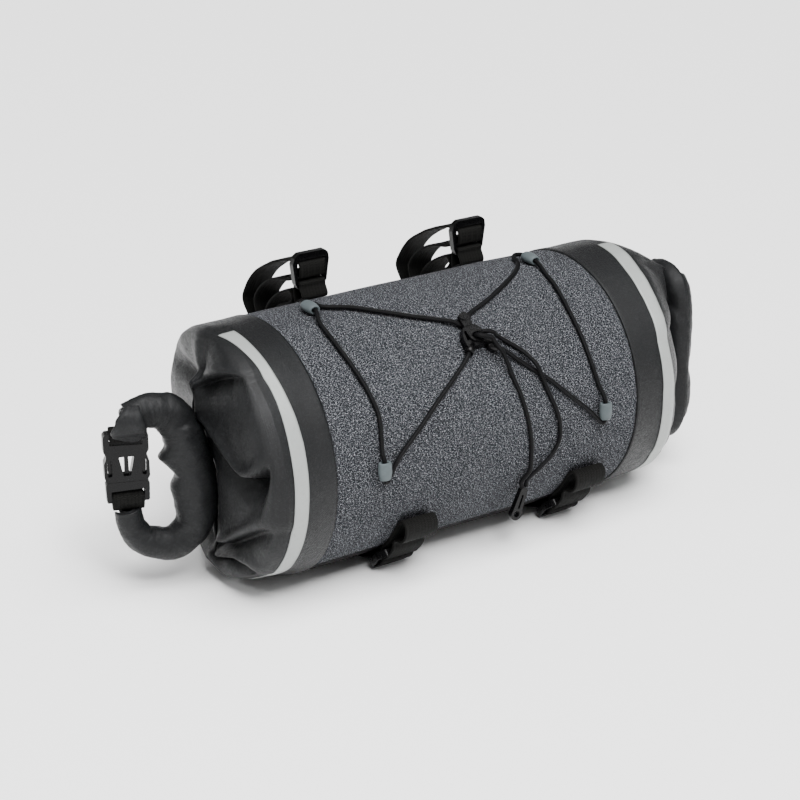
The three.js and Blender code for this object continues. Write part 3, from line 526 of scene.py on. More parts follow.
def webbing_ribs(w, given):
    """Herringbone ribs of woven webbing."""
    chevron = w.over(given["Across"], 1.6)
    rib = w.plus(w.over(given["Along"], 0.95), w.math("PINGPONG", chevron, 1.0))
    return {"Height": w.times(w.humps(rib), w.span(w.humps(chevron), 0.0, 0.5, 0.35, 1.0))}


def braid(w, given):
    """Crossing strands of a braided sheath; Round counts turns round the cord."""
    strands = w.times(given["Round"], 6.0)
    pitch = w.over(given["Along"], 1.5)
    right, left = (w.math("SINE", w.times(w.math(way, strands, pitch), 2 * math.pi))
                   for way in ("ADD", "SUBTRACT"))
    return {"Height": w.span(w.math("MAXIMUM", right, left), -1.0, 1.0)}


def srgb(red, green, blue):
    """Linear colour with alpha from eight-bit values."""
    values = []
    for level in (red, green, blue):
        share = level / 255
        values.append(share / 12.92 if share <= 0.04045 else ((share + 0.055) / 1.055) ** 2.4)
    return (*values, 1.0)


def tinted(colour, factor):
    return (*[min(level * factor, 1.0) for level in colour[:3]], 1.0)


EFFECTS = {}
FINISHES = {}


def make_effects():
    places = [("Across", 0.0), ("Along", 0.0)]
    for key, name, inputs, outputs, build in (
            ("weave", "Plain weave", [*places, ("Pitch", 1.0)], ["Height"], plain_weave),
            ("fleck", "Melange flecks", [*places, ("Length", 2.0), ("Width", 1.0)],
             ["Light", "Dark", "Level"], fleck),
            ("mottle", "Slow mottle", [("Place", None), ("Scale", 20.0)], ["Value"], mottle),
            ("ribs", "Webbing ribs", places, ["Height"], webbing_ribs),
            ("braid", "Cord braid", [("Round", 0.0), ("Along", 0.0)], ["Height"], braid)):
        EFFECTS[key] = effect(name, inputs, outputs, build)


def make_finish(name, build, given, **constants):
    """Material whose Principled shader takes constants by socket name and what build makes."""
    material = bpy.data.materials.new(name)
    material.use_nodes = True
    shader = material.node_tree.nodes["Principled BSDF"]
    for key, value in constants.items():
        shader.inputs[key.replace("_", " ")].default_value = value
    wires = Wiring(material.node_tree)
    made = build(wires, wires.new("ShaderNodeTexCoord").outputs["Object"], *given)
    level, depth = made.pop("Height")
    for key, value in made.items():
        wires.feed(shader.inputs[key], value)
    bump = wires.new("ShaderNodeBump")
    bump.inputs["Distance"].default_value = depth * MM
    wires.feed(bump.inputs["Height"], level)
    wires.feed(shader.inputs["Normal"], bump.outputs[0])
    FINISHES[name] = material


# What each finish feeds its shader; Height is a level and its depth in millimetres

def melange_cloth(w, spot, panel, flecks):
    across, along = w.cloth_place()
    fibres = w.group("fleck", Across=along, Along=across, Length=1.15, Width=0.4)
    dark = w.colour(w.times(fibres["Dark"], 0.9), w.mottled(spot, 26.0, panel, 0.88, 1.12),
                    tinted(panel, 0.12))
    return {"Base Color": w.colour(fibres["Light"], dark, flecks),
            "Roughness": w.span(fibres["Level"], 0.4, 0.8, 0.92, 0.72),
            "Height": (w.plus(w.times(w.threads(0.75), 0.5), fibres["Level"]), 0.22)}


def coated_cloth(w, spot, coated):
    grain = w.noise(spot, 800.0, 2.0, 0.65)
    # Painted highlight: bright specks of sparkle are painted into the base colour where the grain is glossiest
    painted_sparkle = w.times(w.span(grain, 0.52, 0.72), 0.6)
    wrinkle = w.noise(spot, 95.0, 4.0, 0.55, 0.6)
    height = w.plus(w.times(w.threads(0.62), 0.25), w.times(wrinkle, 1.4))
    return {"Base Color": w.colour(painted_sparkle, w.mottled(spot, 34.0, coated, 0.86, 1.14), tinted(coated, 3.4)),
            "Roughness": w.span(grain, 0.35, 0.65, 0.52, 0.3),
            "Height": (w.plus(height, w.times(grain, 0.6)), 0.32)}


def belly_cloth(w, spot, belly):
    threads = w.threads(0.8)
    return {"Base Color": w.mottled(spot, 30.0, belly, 0.8, 1.25),
            "Roughness": w.span(threads, 0.0, 1.0, 0.72, 0.58), "Height": (threads, 0.16)}


def reflective_tape(w, spot, stripe):
    worn = w.span(w.noise(spot, 420.0, 3.0, 0.6), 0.56, 0.72)
    base = w.mottled(spot, 60.0, stripe, 0.93, 1.0)
    return {"Base Color": w.colour(w.times(worn, 0.25), base, tinted(stripe, 0.7)),
            "Roughness": w.span(worn, 0.0, 1.0, 0.42, 0.6), "Height": (w.threads(0.5), 0.05)}


def woven_webbing(w, spot, webbing):
    across, along = w.cloth_place()
    ribs = w.group("ribs", Across=across, Along=along)["Height"]
    base = w.colour(ribs, tinted(webbing, 0.25), tinted(webbing, 1.7))
    return {"Base Color": w.colour(w.times(w.shade(spot, 120.0), 0.3), base, tinted(webbing, 1.9)),
            "Roughness": w.span(ribs, 0.0, 1.0, 0.9, 0.66), "Height": (ribs, 0.5)}


def moulded_plastic(w, spot, colour, rough):
    grain = w.noise(spot, 1500.0, 2.0, 0.5)
    scuffs = w.span(w.noise(spot, 260.0, 5.0, 0.65), 0.58, 0.75)
    base = w.mottled(spot, 110.0, colour, 0.85, 1.15)
    return {"Base Color": w.colour(w.times(scuffs, 0.2), base, tinted(colour, 2.0)),
            "Roughness": w.span(grain, 0.3, 0.7, rough - 0.08, rough + 0.1), "Height": (grain, 0.06)}


def elastic_sheath(w, spot, cord):
    across, along = w.cloth_place()
    strands = w.group("braid", Round=w.over(across, 2 * math.pi * CORD), Along=along)["Height"]
    return {"Base Color": w.colour(strands, tinted(cord, 0.5), tinted(cord, 1.5)),
            "Roughness": w.span(strands, 0.0, 1.0, 0.75, 0.38), "Height": (strands, 0.22)}


# Settings

def colour_setting(name, description, *levels):
    return bpy.props.FloatVectorProperty(
        name=name, description=description, subtype="COLOR", size=4, min=0, max=1, default=srgb(*levels))


def thickness_setting(name, description, most, default):
    return bpy.props.FloatProperty(
        name=name, description=description, subtype="DISTANCE", unit="LENGTH", min=0, max=most,
        default=default)


class BagColours(bpy.types.PropertyGroup):
    """Colours of the bag's cloths and mouldings"""

    panel: colour_setting("Panel", "Grey of the melange panel", 27, 28.5, 31.5)
    flecks: colour_setting("Flecks", "Light fibres of the melange panel", 178, 180, 187)
    coated: colour_setting("Coated cloth", "Charcoal of the ends and rolls", 11.4, 12.2, 13.4)
    belly: colour_setting("Belly", "Black of the belly panel", 8, 8, 9)
    stripe: colour_setting("Stripe", "Silver of the reflective stripes", 142, 145, 143)
    webbing: colour_setting("Webbing", "Black of the straps", 12.5, 12.5, 11.5)
    plastic: colour_setting("Buckles", "Black of the buckles and sliders", 4, 4, 4.6)
    guide: colour_setting("Guides", "Grey-green of the cord guides", 70, 77, 79)
    cord: colour_setting("Cord", "Black of the elastic cord", 5, 5, 6)


class BagSizes(bpy.types.PropertyGroup):
    """Sizes of the bag's soft details"""

    fold_depth: bpy.props.FloatProperty(
        name="Fold depth", description="Depth of the ends' folds as a share of their own", min=0, max=2,
        default=1.0)
    sag: thickness_setting("Panel unevenness", "How far the panels swell and dip", 0.003, 0.0007)
    ripple: thickness_setting("Strap ripple", "How uneven the webbing lies", 0.002, 0.0003)
    tape: thickness_setting("Stripe thickness", "Thickness of the reflective stripes", 0.002, 0.0005)


class BagPiece:
    """What the bag's operators share"""

    bl_options = {"REGISTER", "UNDO"}

    def execute(self, context):
        self.build(context.scene.bag_sizes)
        return {"FINISHED"}


# Stage

CAMERA_AZIMUTH, CAMERA_ELEVATION = -34.08, 22.30
CAMERA_DISTANCE = 1400.0
CAMERA_SHIFT = (-13.2, 3.0)  # right and up of the bag's axis
CAMERA_LENS = 93.24
# Name, kind, azimuth, elevation, distance in metres, size in metres or a sun's in degrees, and strength
LIGHTS = (
    ("ceiling", "SUN", 5, 70, 2.0, 50, 7.4),
    ("key", "AREA", -18, 46, 1.4, 0.4, 12),
    ("fill", "AREA", 35, 24, 1.8, 1.0, 4),
    ("glint", "AREA", -92, 30, 1.3, 0.22, 3.2),
)
WORLD_LIGHT = 0.34
FLOOR_REACH = 30.0


def camera_axes(azimuth, elevation):
    a, e = math.radians(azimuth), math.radians(elevation)
    back = Vector((math.sin(a) * math.cos(e), -math.cos(a) * math.cos(e), math.sin(e)))
    right = Vector((math.cos(a), math.sin(a), 0))
    return right, back.cross(right), back


def studio_light(name, kind, azimuth, elevation, distance, size, strength):
    light = bpy.data.lights.new(name, kind)
    light.energy = strength
    if kind == "SUN":
        light.angle = math.radians(size)
    else:
        light.shape = "DISK"
        light.size = size
    lamp = bpy.data.objects.new(name, light)
    right, up, back = camera_axes(azimuth, elevation)
    lamp.matrix_world = matrix_of(AXIS + back * distance, right, up, back)
    bpy.context.scene.collection.objects.link(lamp)


class BAG_OT_stage(BagPiece, bpy.types.Operator):
    """Floor, lights and camera"""

    bl_idname = "bag.stage"
    bl_label = "Stage"

    def build(self, sizes):
        scene = bpy.context.scene
        right, up, back = camera_axes(CAMERA_AZIMUTH, CAMERA_ELEVATION)
        lens = bpy.data.cameras.new("camera")
        lens.lens = CAMERA_LENS
        lens.clip_start, lens.clip_end = 0.05, 100.0
        camera = bpy.data.objects.new("camera", lens)
        aim = AXIS + (right * CAMERA_SHIFT[0] + up * CAMERA_SHIFT[1]) * MM
        camera.matrix_world = matrix_of(aim + back * CAMERA_DISTANCE * MM, right, up, back)
        scene.collection.objects.link(camera)
        scene.camera = camera

        floor_paper = bpy.data.materials.new("floor paper")
        floor_paper.use_nodes = True
        shader = floor_paper.node_tree.nodes["Principled BSDF"]
        shader.inputs["Base Color"].default_value = (0.95, 0.95, 0.95, 1)
        shader.inputs["Roughness"].default_value = 0.9
        corners = [(x * FLOOR_REACH, y * FLOOR_REACH, 0) for x, y in ((-1, -1), (1, -1), (1, 1), (-1, 1))]
        floor = add_object("floor", corners, [(0, 1, 2, 3)], None, floor_paper)

        world = bpy.data.worlds.new("studio")
        world.use_nodes = True
        world.node_tree.nodes["Background"].inputs["Color"].default_value = (1, 1, 1, 1)
        world.node_tree.nodes["Background"].inputs["Strength"].default_value = WORLD_LIGHT
        scene.world = world
        for row in LIGHTS:
            studio_light(*row)


# Cords

def route(rows):
    """Places on the panel by x, angle and height, where a height left out is that of a cord lying on it."""
    return [tube_point(x, angle, *(height or [CORD_LAID])) for x, angle, *height in rows]


LOCK = station(3, 50, GAP + 0.05)
HOOK = (-2.4, 12.8)
EYELET = (-0.1, -2.8)
SOCKETS = {"left": ((-10.4, -12.1), 225), "right": ((12.0, -13.4), -33)}


def lock_point(across, up, out):
    return LOCK @ (Vector((across, up, out)) * MM)


def socket_point(side, past):
    (x, y), heading = SOCKETS[side]
    turn = math.radians(heading)
    return lock_point(x + past * math.cos(turn), y + past * math.sin(turn), LOCK_THICKNESS / 2)


def hook_point(across, below):
    return lock_point(HOOK[0] + across, HOOK[1] - below, CORD + 0.1)


LEFT_RUN = [
    (-75, 7), (-79.4, 2.9), (-82.6, -0.1, 2.4), (-84.5, -1.5, 3), (-85.9, -1.7, 3.5),
    (-86.8, -0.7, GUIDE_HEIGHT), (-87, 1, GUIDE_HEIGHT), (-87, 3.7, GUIDE_HEIGHT), (-87, 8, GUIDE_HEIGHT),
    (-87.4, 11.4, 2.9), (-86.2, 15.6), (-84.4, 27), (-86.8, 38), (-90.2, 50), (-92.4, 63), (-91.6, 75.4),
    (-89.8, 79.2, 2.9), (-88, 82.6, GUIDE_HEIGHT), (-88, 87, GUIDE_HEIGHT), (-88, 91.4, GUIDE_HEIGHT),
    (-87.2, 94, GUIDE_HEIGHT), (-84.6, 95.3, 3.6), (-82, 94.2, 3), (-80.2, 91.2, 2.4), (-78.2, 88),
]
RIGHT_RUN = [
    (77.6, 87), (80.2, 91.2, 2.4), (82, 94.2, 3), (84.6, 95.3, 3.6), (87.2, 94, GUIDE_HEIGHT),
    (88, 91.4, GUIDE_HEIGHT), (88, 87, GUIDE_HEIGHT), (88, 82.6, GUIDE_HEIGHT), (87.6, 79.2, 2.9), (86.2, 74),
    (84.6, 65), (82.2, 50), (82.4, 38), (84, 24), (86.6, 14.6), (88.2, 11, 2.9), (89, 7.7, GUIDE_HEIGHT),
    (89, 3.4, GUIDE_HEIGHT), (89, 0.8, GUIDE_HEIGHT), (88.8, -0.9, GUIDE_HEIGHT), (87.9, -1.9, 3.5),
    (86.4, -1.8, 3), (84.4, -0.5, 2.4), (81, 2), (75, 6),
]
SOCKET_STOPS = (-4.5, 0.0, 3.0)


def bungee_route():
    return [
        *[socket_point("left", past) for past in SOCKET_STOPS],
        *route([(-19, 35.7), (-39, 26.4), (-57, 17), *LEFT_RUN]),
        *route([(-63, 82), (-48, 74.4), (-31.5, 67.4), (-14, 61.6)]),
        *[hook_point(*row) for row in ((-5.4, 0.8), (-3.2, 3.4), (0, 4.4), (3.2, 3.4), (5.6, 0.8))],
        *route([(9.6, 60.6), (29, 66), (49, 72.6), (66, 79.6)]),
        *route([*RIGHT_RUN, (64, 12.4), (48, 22.8), (31, 32.6)]),
        *[socket_point("right", past) for past in reversed(SOCKET_STOPS)],
    ]


CLIP_TOP = (26.6, *section(-24, 5.5))
CLIP_TILT = 21.0
END_GAP = 3.5
EYELET_RISE = 9.3


def above_clip(across, up):
    return place(CLIP_TOP[0] + across, CLIP_TOP[1], CLIP_TOP[2] + up)


def left_pull_route():
    x, up = EYELET[0] - END_GAP / 2, EYELET[1]
    return [
        lock_point(x, up, 2.4), lock_point(x, up, 7.2), lock_point(x + 0.9, up - 1.8, EYELET_RISE),
        lock_point(3, -6.6, EYELET_RISE + 0.6), lock_point(6.8, -8.2, EYELET_RISE + 0.2),
        *route([(11.6, 42.4, 8.9), (14.2, 39.4, 8.2), (16.8, 35.6, 5.4), (19.4, 30.2, 2.4), (23.2, 19.4),
                (26.2, 9), (28.6, -1), (29.6, -9, 2.2), (29.2, -16.4, 3.6)]),
        above_clip(-END_GAP / 2 - 0.3, 4.4), above_clip(-END_GAP / 2, 0.3),
    ]


def right_pull_route():
    x, up = EYELET[0] + END_GAP / 2, EYELET[1]
    return [
        lock_point(x, up, 2.4), lock_point(x, up, 7.2), lock_point(x + 1.5, up + 0.2, EYELET_RISE),
        lock_point(6.4, -3.2, EYELET_RISE + 0.3), lock_point(10.6, -4, EYELET_RISE - 1.2),
        *route([(18.4, 46.6, 4.2), (24, 44, 2.2), (31, 39.6), (35.2, 35.2, 3.6), (38.8, 29.8, 5.2),
                (41.6, 24.4, 3.6), (44.8, 18.6), (49, 10.6), (52, 3), (52, -4.4, 2.2), (46.6, -11, 2.8),
                (37, -16.2, 3.8)]),
        above_clip(END_GAP / 2 + 0.8, 4.6), above_clip(END_GAP / 2, 0.3),
    ]


class BAG_OT_cords(BagPiece, bpy.types.Operator):
    """Laced elastic cord and its two free ends with their clip"""

    bl_idname = "bag.cords"
    bl_label = "Cords"

    def build(self, sizes):
        sheath = FINISHES["elastic sheath"]
        bungee = cord_tube("laced_cord", smooth_line(bungee_route(), 6), sheath)
        ready(bungee, "elastic_cord", "bungee_cord")

        clip = ready(cord_clip(), "black_plastic", "cord_end_clip")
        for side, points, far_end, pieces in (("left", left_pull_route(), "fitting", [clip]),
                                              ("right", right_pull_route(), "object", [])):
            line = smooth_line(points, 6)
            pull = cord_tube(f"{side}_pull_end", line, sheath)
            ready(pull, "elastic_cord", f"{side}_pull_cord")


def cord_clip():
    """Flat hook with a ring, hanging from the cord's two ends."""
    length, half, half_thick = 23.0, 3.5, 1.7
    ring = half * 1.26
    centre = ring - length
    outline = [(0.6 - half, -1.4), (-half, -9), *arc(0, centre, ring, -205, 25, 18), (half - 0.4, -9),
               (half - 0.6, -1.4), (half - 1.8, 0), (1.8 - half, 0)]
    slit = mirrored([(0.7, -5), (0.7, centre + ring * 0.9)])
    tilt = Matrix.Rotation(math.radians(CLIP_TILT), 4, "Y")
    matrix = Matrix.Translation(place(*CLIP_TOP)) @ tilt @ Matrix.Rotation(math.pi / 2, 4, "X")
    holes = [oval(0, centre, ring * 0.5, ring * 0.5, 20), slit]
    return moulding("end_clip", outline, holes, -half_thick, half_thick, matrix, 0.7)


# Panels

def unevenness(x, angle, size):
    """Slow swelling and dipping of the stuffed tube, in millimetres."""
    turn = math.radians(angle)
    spot = Vector((x / 70, math.cos(turn) * 1.4, math.sin(turn) * 1.4))
    return size / MM * 1.6 * noise.noise(spot)


SEAM_CUT = 0.12  # degrees
SEAM_DEPTH = 0.45
PANEL_CLOTH, END_CLOTH, FLAP_CLOTH = 1.6, 1.4, 2.6


def panel_shell(name, start, end, finish, sizes):
    angles = spread(start, end, round((end - start) / 1.5))
    xs = spread(-HALF_PANEL + GAP / 2, HALF_PANEL - GAP / 2, 120)

    def face(inset):
        grid = []
        for x in xs:
            across_seam = smoothstep((HALF_PANEL - abs(x)) / 7)
            row = []
            for angle in angles:
                seam = across_seam * smoothstep(min(angle - start, end - angle) / 4)
                height = seam * unevenness(x, angle, sizes.sag) - SEAM_DEPTH * (1 - seam)
                row.append(tube_point(x, angle, height - inset))
            grid.append(row)
        return grid

    across = [math.radians(angle) * RADIUS for angle in angles]
    return grid_shell(name, face(0), face(PANEL_CLOTH), False, FINISHES[finish], across, xs)


class BAG_OT_panels(BagPiece, bpy.types.Operator):
    """Grey front panel and black belly panel"""

    bl_idname = "bag.panels"
    bl_label = "Panels"

    def build(self, sizes):
        front = panel_shell("grey_panel", LOW_EDGE + SEAM_CUT, HIGH_EDGE - SEAM_CUT, "melange cloth", sizes)
        ready(front, "grey_cloth", "front_panel")
        low_end = LOW_EDGE + 360 - SEAM_CUT
        belly = panel_shell("black_belly", HIGH_EDGE + SEAM_CUT, low_end, "belly cloth", sizes)
        ready(belly, "belly_cloth", "belly_panel")


# Folded ends. By angle, rim is where the tube folds in, crest how far the fold stands out past it, gather how
# far the slit moves in along the bag, and tuck how far the rim is drawn in. By share of the way in, profile is
# how much of the crest is reached.

ENDS = {
    "left": dict(
        side=-1, roll=174.5, forward=0.0, seat=0.9, low=-0.77, high=0.64,
        rim=[(-90, 157), (-45, 155), (45, 155), (90, 153), (120, 149), (145, 145), (180, 141), (225, 146),
             (270, 157)],
        crest=[(-90, 7), (-45, 12), (0, 15), (45, 16), (90, 14), (110, 12), (144, 9), (180, 6), (225, 6),
               (270, 7)],
        profile=[(0, 0), (0.03, 0.45), (0.1, 0.75), (0.24, 0.93), (0.42, 1), (0.6, 1), (0.76, 0.95),
                 (0.89, 0.92), (1, 0.9)],
        gather=[(-90, 0), (-20, -2), (0, 0), (20, 6), (45, 12), (90, 14), (135, 12), (160, 5), (180, 0),
                (270, 0)],
        tuck=[(-90, 7), (-62, 5), (-35, 0), (180, 0), (220, 3), (270, 7)],
    ),
    "right": dict(
        side=1, roll=206.0, forward=22.0, seat=-0.7, low=-0.75, high=0.78,
        rim=[(-90, 158), (-42, 157), (-20, 152), (0, 149.5), (20, 148.5), (40, 152), (62, 157), (90, 160),
             (180, 160), (270, 158)],
        crest=[(-90, 35), (-42, 36), (-20, 41), (0, 43.5), (20, 44.5), (40, 41), (62, 36), (90, 33),
               (180, 33), (270, 35)],
        profile=[(0, 0), (0.04, 0.13), (0.12, 0.27), (0.25, 0.42), (0.45, 0.6), (0.7, 0.8), (1, 1)],
        gather=[(-90, 0), (270, 0)],
        tuck=[(-90, 3), (-62, 2), (-35, 0), (180, 0), (270, 3)],
    ),
}
SLIT_PULL = 0.72
MOUTH_HALF_GAP = 1.6
SEAM = HALF_PANEL + GAP / 2
SKIN_EASE, TUCK_START, CREASE_EASE = 14, 5, 17

# Creases pressed into the ends: their angle on the way from rim to slit, their depth there in millimetres,
# and how many degrees they take to fade out above and below
CREASES = {
    "left": [
        ([(0, 53.5), (0.16, 58), (0.48, 61.5), (1, 68)],
         [(0, 2.2), (0.08, 6), (0.3, 10), (0.6, 9), (0.9, 6), (1, 2)], 3.0, 11.0),
        ([(0, 19), (0.06, 16), (0.12, 12), (0.2, 8), (0.3, 7), (0.4, 9.5), (0.52, 14.5), (0.66, 20),
          (0.8, 25), (1, 33)],
         [(0, 0), (0.05, 2), (0.12, 9), (0.22, 19), (0.5, 19), (0.8, 13), (1, 3)], 1.9, 8.5),
        ([(0, -15), (0.13, -16.2), (0.25, -20.5), (0.39, -28), (0.52, -35.5), (0.66, -45.2), (1, -62)],
         [(0, 1.6), (0.1, 5), (0.3, 8), (0.6, 9), (0.9, 6), (1, 2)], 2.6, 9.0),
        ([(0, -46), (0.23, -45.5), (0.41, -48.8), (0.55, -57.5), (0.67, -68), (1, -80)],
         [(0, 1), (0.1, 4), (0.4, 7), (0.8, 5), (1, 2)], 2.6, 8.0),
        ([(0, 88), (0.5, 84), (1, 80)], [(0, 0.6), (0.2, 2), (0.6, 3), (1, 1)], 6.0, 6.0),
        ([(0, 150), (1, 122)], [(0, 1), (0.2, 5), (0.7, 6), (1, 1)], 6.0, 8.0),
        ([(0, 190), (1, 165)], [(0, 1), (0.2, 5), (0.7, 6), (1, 1)], 7.0, 7.0),
        ([(0, 224), (1, 242)], [(0, 1), (0.2, 4), (0.7, 5), (1, 1)], 7.0, 6.0),
    ],
    "right": [
        ([(0, 70), (1, 76)], [(0, 1), (0.15, 3), (0.6, 5), (1, 1)], 4.0, 9.0),
        ([(0, 27), (1, 40)], [(0, 2.0), (0.12, 2.8), (0.6, 4), (1, 1)], 3.0, 7.0),
        ([(0, 2), (1, 12)], [(0, 1.0), (0.12, 1.8), (0.6, 3), (1, 1)], 3.0, 8.0),
        ([(0, -34), (1, -46)], [(0, 2.0), (0.12, 3.4), (0.6, 4), (1, 1)], 3.0, 8.0),
        ([(0, 140), (1, 118)], [(0, 1), (0.2, 5), (0.7, 6), (1, 1)], 7.0, 7.0),
        ([(0, 178), (1, 178)], [(0, 1), (0.2, 5), (0.7, 6), (1, 1)], 7.0, 7.0),
        ([(0, 226), (1, 244)], [(0, 1), (0.2, 5), (0.7, 6), (1, 1)], 7.0, 7.0),
    ],
}


def turn_between(angle, other):
    return (angle - other + 180) % 360 - 180


def crease_depth(end, along, angle):
    depth = 0.0
    for course, depths, above, below in CREASES[end]:
        away = turn_between(angle, table_value(course, along))
        deep = table_value(depths, along)
        if away < 0:
            depth += deep * math.exp(-abs(away / below) ** 1.3)
        else:
            ridge = 0.22 * math.exp(-((away - above * 2.6) / (above * 1.7)) ** 2)
            depth += deep * (math.exp(-(away / above) ** 2) - ridge)
    return depth


def wrinkles(x, y, z):
    spot = Vector((x, y, z)) / 26
    return 1.0 * noise.noise(spot) + 0.4 * noise.noise(spot * 2.7) + 0.12 * noise.noise(spot * 7.5)


def skin_height(end, x, angle, rim):
    """Height of the coated fabric over the tube, between seam and rim."""
    form = ENDS[end]
    side, past = form["side"], x - SEAM
    y, z = section(angle, 0)
    uneven = unevenness(side * x, angle, bpy.context.scene.bag_sizes.sag) + 0.35 * wrinkles(side * x, y, z)
    tuck = soft_value(form["tuck"], angle) * smoothstep((past - TUCK_START) / (rim - SEAM - TUCK_START))
    crease = 0.7 * crease_depth(end, 0, angle) * smoothstep((x - rim + CREASE_EASE) / CREASE_EASE)
    return 0.4 * smoothstep(past) + smoothstep(past / SKIN_EASE) * uneven - tuck - crease


def folded_point(end, along, angle):
    """Place on a folded end, and the outward direction there as a share along the bag."""
    form = ENDS[end]
    turn = math.radians(angle)
    rim = soft_value(form["rim"], angle)
    slit_x = form["roll"] - ROLL * 1.04 - form["seat"] + soft_value(form["gather"], angle)
    reach = rim + profile_value(form["profile"], along) * soft_value(form["crest"], angle)
    x = lerp(reach, slit_x, smoothstep((along - SLIT_PULL) / (1 - SLIT_PULL)))
    fold = smoothstep(along / 0.12)
    tucked = -soft_value(form["tuck"], angle)
    rim_y, rim_z = section(angle, lerp(skin_height(end, rim, angle, rim), tucked, fold))
    middle, half = (form["low"] + form["high"]) / 2 * RADIUS, (form["high"] - form["low"]) / 2 * RADIUS
    y = lerp(rim_y, -form["forward"] - MOUTH_HALF_GAP * math.cos(turn), along)
    z = lerp(rim_z, middle + half * math.sin(turn), along)
    loose = smoothstep(along / 0.1) * smoothstep((1.02 - along) / 0.12)
    sizes = bpy.context.scene.bag_sizes
    pressed = fold * crease_depth(end, along, angle) * sizes.fold_depth
    sink = pressed - loose * wrinkles(form["side"] * x, y, z)
    return place(form["side"] * (x - sink), y, z), fold


def profile_value(rows, along):
    """Profile of a fold, averaged over a short reach and still nothing at the rim."""
    reach = 0.03

    def average(at):
        places = (min(max(at + step * reach, 0.0), 1.0) for step in (-1, -0.5, 0, 0.5, 1))
        return sum(table_value(rows, place_in) for place_in in places) / 5
    return average(along) - average(0) * max(0.0, 1 - along / reach)


def set_in(outer, side, thickness):
    """Inner face of a grid that wraps round the bag."""
    last, count = len(outer) - 1, len(outer[0])
    inner = []
    for i, row in enumerate(outer):
        points = []
        for j, point in enumerate(row):
            along = outer[min(i + 1, last)][j] - outer[max(i - 1, 0)][j]
            around = row[(j + 1) % count] - row[j - 1]
            points.append(point - along.cross(around).normalized() * side * thickness * MM)
        inner.append(points)
    return inner


def end_shell(end):
    form = ENDS[end]
    side = form["side"]
    angles = spread(-90, 100, 270)[:-1] + spread(100, 270, 70)[:-1]
    rims = [soft_value(form["rim"], angle) for angle in angles]
    shares = spread(0, 1, 24)[:-1]
    alongs = [share ** 1.6 for share in spread(0, 1, 84)]
    outer = [[on_skin(end, lerp(SEAM, rim, share), angle, rim) for rim, angle in zip(rims, angles)]
             for share in shares]
    outer += [[folded_point(end, along, angle)[0] for angle in angles] for along in alongs]
    across = [math.radians(angle) * RADIUS for angle in [*angles, 270]]
    skin_length, fold_length = 36, 90
    along_mm = [SEAM + share * skin_length for share in shares]
    along_mm += [SEAM + skin_length + along * fold_length for along in alongs]
    return grid_shell(f"{end}_folded_end", outer, set_in(outer, side, END_CLOTH), True,
                      FINISHES["coated cloth"], across, along_mm)


def on_skin(end, x, angle, rim, lift=0.0):
    return tube_point(ENDS[end]["side"] * x, angle, skin_height(end, x, angle, rim) + lift)


class BAG_OT_ends(BagPiece, bpy.types.Operator):
    """Coated ends with their folds"""

    bl_idname = "bag.ends"
    bl_label = "Ends"

    def build(self, sizes):
        for end in ENDS:
            ready(end_shell(end), "coated_cloth", f"{end}_end")


# Stripes: rows of angle, and the distances from the panel's middle of the inner and the outer edge
STRIPES = {
    "left": [(-63, 145.6, 155.7), (-58, 145.2, 155.4), (-39, 143.4, 154.6), (-33, 143, 154.0),
             (-12, 141.3, 151.4), (-2, 140.8, 150.8), (10, 140.0, 150.0), (23, 139.4, 149.5),
             (34, 139.8, 149.0), (43, 140.9, 148.8), (49, 141.6, 149.0), (59, 142.8, 150.3),
             (73, 144.2, 153.2), (86, 144.8, 156.0)],
    "right": [(-72, 147, 157.5), (-38, 146.3, 156.6), (-31, 145.6, 156.4), (-18, 144.0, 155.4),
              (-12, 143.2, 154.6), (-3, 142.4, 154.0), (10, 142.0, 152.6), (20, 142.2, 152.0),
              (32, 143.4, 153.6), (38, 144.2, 155.0), (53, 145.2, 156.6), (64, 146.8, 158.6),
              (70, 147.9, 160.2), (91, 151.6, 163.0)],
}


class BAG_OT_stripes(BagPiece, bpy.types.Operator):
    """Reflective stripes on the ends"""

    bl_idname = "bag.stripes"
    bl_label = "Stripes"

    def build(self, sizes):
        shares = spread(0, 1, 6)
        for end, rows in STRIPES.items():
            angles = spread(rows[0][0], rows[-1][0], 150)
            inner_edge = [(angle, x) for angle, x, _outer in rows]
            outer_edge = [(angle, x) for angle, _inner, x in rows]

            def surface(lift):
                edges = [(table_value(inner_edge, angle), table_value(outer_edge, angle)) for angle in angles]
                return [[on_end(end, lerp(*edge, share), angle, lift) for share in shares]
                        for angle, edge in zip(angles, edges)]

            across = [share * 10 for share in shares]
            along = [math.radians(angle) * RADIUS for angle in angles]
            tape = grid_shell(f"{end}_reflective_stripe", surface(sizes.tape / MM), surface(0.05), False,
                              FINISHES["reflective tape"], across, along)
            ready(tape, "reflective_tape", f"{end}_stripe")


def on_end(end, x, angle, lift):
    """Place over an end's fabric at a distance from the panel's middle, past the rim too."""
    side = ENDS[end]["side"]
    rim = soft_value(ENDS[end]["rim"], angle)
    if x <= rim:
        return on_skin(end, x, angle, rim, lift)
    low, high = 0.0, 0.3
    for _ in range(20):
        middle = (low + high) / 2
        if abs((folded_point(end, middle, angle)[0].x - AXIS.x) / MM) < x:
            low = middle
        else:
            high = middle
    spot, fold = folded_point(end, low, angle)
    out = (tube_point(side * x, angle, 1) - tube_point(side * x, angle, 0)).normalized()
    return spot + (out * (1 - fold) + Vector((side, 0, 0)) * fold).normalized() * lift * MM


# Rolled closures. A course goes from the arm beside the buckle down the standing roll and round to the
# buckle's foot, in rows of out, front, up and size; inside is how far the roll bulges, by height.

